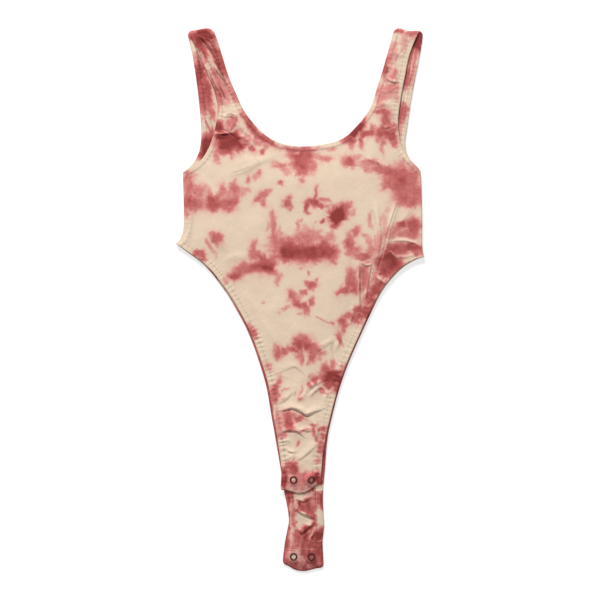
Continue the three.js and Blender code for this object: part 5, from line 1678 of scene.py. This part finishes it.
for side in ("left", "right"):
    for obj in (strap_cloth[side], stitch[side + "_strap_stitches"]):
        bend(obj)
for obj in (front_tab, stitch["front_tab_stitches"]):
    bend(obj)
for obj in (back_tail, lining, stitch["back_tail_stitches"]):
    bend(obj)
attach(tail_facing, "back_tail")
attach(tab_facing, "front_tab")

# ------------------------------------------------------------------ materials
def srgb(r, g, b):
    def lin(c):
        c /= 255
        return c / 12.92 if c <= 0.04045 else ((c + 0.055) / 1.055) ** 2.4

    return (lin(r), lin(g), lin(b), 1.0)


class Graph:
    def __init__(self, name):
        self.mat = bpy.data.materials.new(name)
        self.mat.use_nodes = True
        self.tree = self.mat.node_tree
        self.bsdf = next(n for n in self.tree.nodes if n.type == "BSDF_PRINCIPLED")

    def link(self, a, b):
        self.tree.links.new(a, b)

    def math(self, op, a, b=None, clamp=False):
        n = self.tree.nodes.new("ShaderNodeMath")
        n.operation = op
        n.use_clamp = clamp
        for i, v in enumerate((a, b)):
            if v is None:
                continue
            if isinstance(v, (int, float)):
                n.inputs[i].default_value = v
            else:
                self.link(v, n.inputs[i])
        return n.outputs[0]

    def attr(self, name):
        n = self.tree.nodes.new("ShaderNodeAttribute")
        n.attribute_name = name
        return n

    def noise(self, vector, scale, detail=2.0, rough=0.5):
        n = self.tree.nodes.new("ShaderNodeTexNoise")
        n.inputs["Scale"].default_value = scale
        n.inputs["Detail"].default_value = detail
        n.inputs["Roughness"].default_value = rough
        self.link(vector, n.inputs["Vector"])
        return n.outputs["Fac"]


def jersey(name, stops, light=1.0):
    g = Graph(name)
    rest = g.attr("rest").outputs["Vector"]
    dye = g.attr("dye").outputs["Fac"]
    n1 = g.noise(rest, 260, 3.0, 0.6)
    n2 = g.noise(rest, 900, 2.0, 0.6)
    # dye bleeds unevenly where it's neither absent nor full
    room = g.math("MULTIPLY", g.math("MULTIPLY", dye, g.math("SUBTRACT", 1.15, dye)), 3.6)
    room = g.math("MAXIMUM", room, 0.10)
    wobble = g.math("ADD", g.math("MULTIPLY", g.math("SUBTRACT", n1, 0.5), 0.50), g.math("MULTIPLY", g.math("SUBTRACT", n2, 0.5), 0.42))
    level = g.math("ADD", dye, g.math("MULTIPLY", wobble, room))
    level = g.math("MULTIPLY", level, 0.8, True)
    ramp = g.tree.nodes.new("ShaderNodeValToRGB")
    g.link(level, ramp.inputs["Fac"])
    e = ramp.color_ramp.elements
    while len(e) > 1:
        e.remove(e[-1])
    e[0].position, e[0].color = stops[0][0] * 0.8, stops[0][1]
    for p, c in stops[1:]:
        e.new(min(1.0, p * 0.8)).color = c
    # heather in the yarn
    fleck = g.noise(rest, 1500, 2.0, 0.7)
    slub = g.noise(rest, 520, 2.0, 0.6)
    # light scales the colour's brightness; below 1 it is painted shade
    value = g.math("ADD", g.math("MULTIPLY", g.math("SUBTRACT", fleck, 0.5), 0.42), light)
    value = g.math("ADD", g.math("MULTIPLY", g.math("SUBTRACT", slub, 0.5), 0.20), value)
    # painted shade: the colour is up to 36% darker along the sharp folds, the hems' stitch grooves and the rolled edges
    painted_shade = g.attr("painted_shade").outputs["Fac"]
    value = g.math("MULTIPLY", value, g.math("SUBTRACT", 1.0, g.math("MULTIPLY", painted_shade, 0.36)))
    hsv = g.tree.nodes.new("ShaderNodeHueSaturation")
    g.link(ramp.outputs["Color"], hsv.inputs["Color"])
    g.link(value, hsv.inputs["Value"])
    g.link(hsv.outputs["Color"], g.bsdf.inputs["Base Color"])
    # knit: fine upright ribs with a break at each loop
    wave = g.tree.nodes.new("ShaderNodeTexWave")
    wave.wave_type, wave.bands_direction = "BANDS", "X"
    wave.inputs["Scale"].default_value = 2 * math.pi / 0.0011 / 20
    wave.inputs["Distortion"].default_value = 1.3
    wave.inputs["Detail"].default_value = 1.0
    g.link(rest, wave.inputs["Vector"])
    fuzz = g.noise(rest, 1200, 3.0, 0.7)
    h = g.math("ADD", g.math("MULTIPLY", wave.outputs["Fac"], 0.35), g.math("MULTIPLY", fuzz, 0.9))
    bump = g.tree.nodes.new("ShaderNodeBump")
    bump.inputs["Strength"].default_value = 0.55
    bump.inputs["Distance"].default_value = 0.00022
    g.link(h, bump.inputs["Height"])
    g.link(bump.outputs["Normal"], g.bsdf.inputs["Normal"])
    g.bsdf.inputs["Roughness"].default_value = 0.92
    g.bsdf.inputs["Sheen Weight"].default_value = 0.12
    g.bsdf.inputs["Sheen Roughness"].default_value = 0.5
    g.bsdf.inputs["Specular IOR Level"].default_value = 0.15
    return g.mat


STOPS = [
    (0.0, srgb(238, 214, 189)), (0.07, srgb(237, 209, 185)), (0.15, srgb(236, 199, 179)), (0.3, srgb(232, 174, 161)),
    (0.5, srgb(223, 146, 138)), (0.7, srgb(210, 121, 116)), (0.85, srgb(197, 106, 103)),
    (1.0, srgb(184, 90, 87)), (1.25, srgb(150, 62, 60)),
]
jersey_front = jersey("cotton_jersey_front", STOPS)
# painted shade: darker copies of the front's material, 5% darker for the back and 12% darker for the lining and
# facings, for the shade on the inner faces and inside the tail
jersey_back_shaded = jersey("cotton_jersey_back", STOPS, light=0.95)
lining_mat_shaded = jersey("cotton_lining", STOPS, light=0.88)
seam_mat = jersey("overlocked_edge", STOPS)


def snap_metal():
    g = Graph("aged_copper_snap")
    geo = g.tree.nodes.new("ShaderNodeTexCoord")
    n = g.noise(geo.outputs["Object"], 1100, 4.0, 0.65)
    ramp = g.tree.nodes.new("ShaderNodeValToRGB")
    g.link(n, ramp.inputs["Fac"])
    e = ramp.color_ramp.elements
    e[0].position, e[0].color = 0.3, srgb(78, 44, 40)
    e[1].position, e[1].color = 0.72, srgb(128, 82, 72)
    g.link(ramp.outputs["Color"], g.bsdf.inputs["Base Color"])
    bump = g.tree.nodes.new("ShaderNodeBump")
    bump.inputs["Strength"].default_value = 0.25
    bump.inputs["Distance"].default_value = 0.0001
    g.link(n, bump.inputs["Height"])
    g.link(bump.outputs["Normal"], g.bsdf.inputs["Normal"])
    g.bsdf.inputs["Metallic"].default_value = 1.0
    g.bsdf.inputs["Roughness"].default_value = 0.42
    return g.mat


thread_mat = jersey("sewing_thread", STOPS)
metal = snap_metal()


def paint(obj, mat):
    obj.data.materials.clear()
    obj.data.materials.append(mat)


paint(front_body, jersey_front)
paint(front_tab, jersey_front)
paint(back_body, jersey_back_shaded)
paint(back_tail, jersey_back_shaded)
for side in ("left", "right"):
    paint(strap_cloth[side], jersey_front)
    paint(seam_cloth[side], seam_mat)
for obj in (lining, tail_facing, tab_facing):
    paint(obj, lining_mat_shaded)
for name, obj in stitch.items():
    paint(obj, thread_mat)
for obj in [socket, *rings.values()]:
    paint(obj, metal)
for name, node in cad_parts.items():
    if not node.hide_render:
        paint(node, metal)

# ------------------------------------------------------------------ cloth facts
def spread(v):
    return float(v[:, 0].max() - v[:, 0].min()) * MM, float(v[:, 1].max() - v[:, 1].min()) * MM


spread(back_v)
spread(body_v)
spread(tab_v)
spread(tail_v)
spread(lv)
spread(tv)
spread(kv)
for side in ("left", "right"):
    area, wide, long_ = AREAS[side + "_strap_cloth"]
    name = side + "_side_seam_cloth"

# ------------------------------------------------------------------ floor, light and camera
bpy.ops.mesh.primitive_plane_add(size=80, location=(0, 0, -0.0008))
floor = bpy.context.object
floor.name = "floor"
g = Graph("paper_floor")
geo = g.tree.nodes.new("ShaderNodeTexCoord")
n = g.noise(geo.outputs["Object"], 30, 2.0, 0.5)
mix = g.tree.nodes.new("ShaderNodeHueSaturation")
mix.inputs["Color"].default_value = (0.52, 0.52, 0.52, 1)
g.link(g.math("ADD", g.math("MULTIPLY", n, 0.01), 0.995), mix.inputs["Value"])
g.link(mix.outputs["Color"], g.bsdf.inputs["Base Color"])
g.bsdf.inputs["Roughness"].default_value = 0.9
g.bsdf.inputs["Emission Color"].default_value = (1, 1, 1, 1)
g.bsdf.inputs["Emission Strength"].default_value = 0.60
floor.data.materials.append(g.mat)
floor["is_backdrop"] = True


def area_light(name, where, size, power, colour=(1, 1, 1)):
    data = bpy.data.lights.new(name, "AREA")
    data.shape, data.size, data.energy, data.color = "SQUARE", size, power, colour
    obj = bpy.data.objects.new(name, data)
    obj.location = where
    obj.rotation_euler = (Vector((0, 0, 0)) - Vector(where)).to_track_quat("-Z", "Y").to_euler()
    bpy.context.scene.collection.objects.link(obj)
    return obj


KEY, FILL = 265.0, 0.40
area_light("key", (-1.2, 4.3, 2.5), 1.1, KEY)
world = bpy.data.worlds.new("studio")
bpy.context.scene.world = world
world.use_nodes = True
world.node_tree.nodes["Background"].inputs["Color"].default_value = (1, 1, 1, 1)
world.node_tree.nodes["Background"].inputs["Strength"].default_value = FILL

camera = bpy.data.objects.new("camera", bpy.data.cameras.new("camera"))
bpy.context.scene.collection.objects.link(camera)
camera.location = (0, 0, 1.6)
camera.data.lens = 36 * 1.6 / 0.75
camera.data.sensor_width = 36
camera.data.clip_start, camera.data.clip_end = 0.05, 20
bpy.context.scene.camera = camera
bpy.context.scene.view_settings.view_transform = "Standard"
bpy.context.scene.view_settings.look = "None"

low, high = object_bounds()
{"cad": [list(cad_low), list(cad_high)], "visual": [list(low), list(high)]}
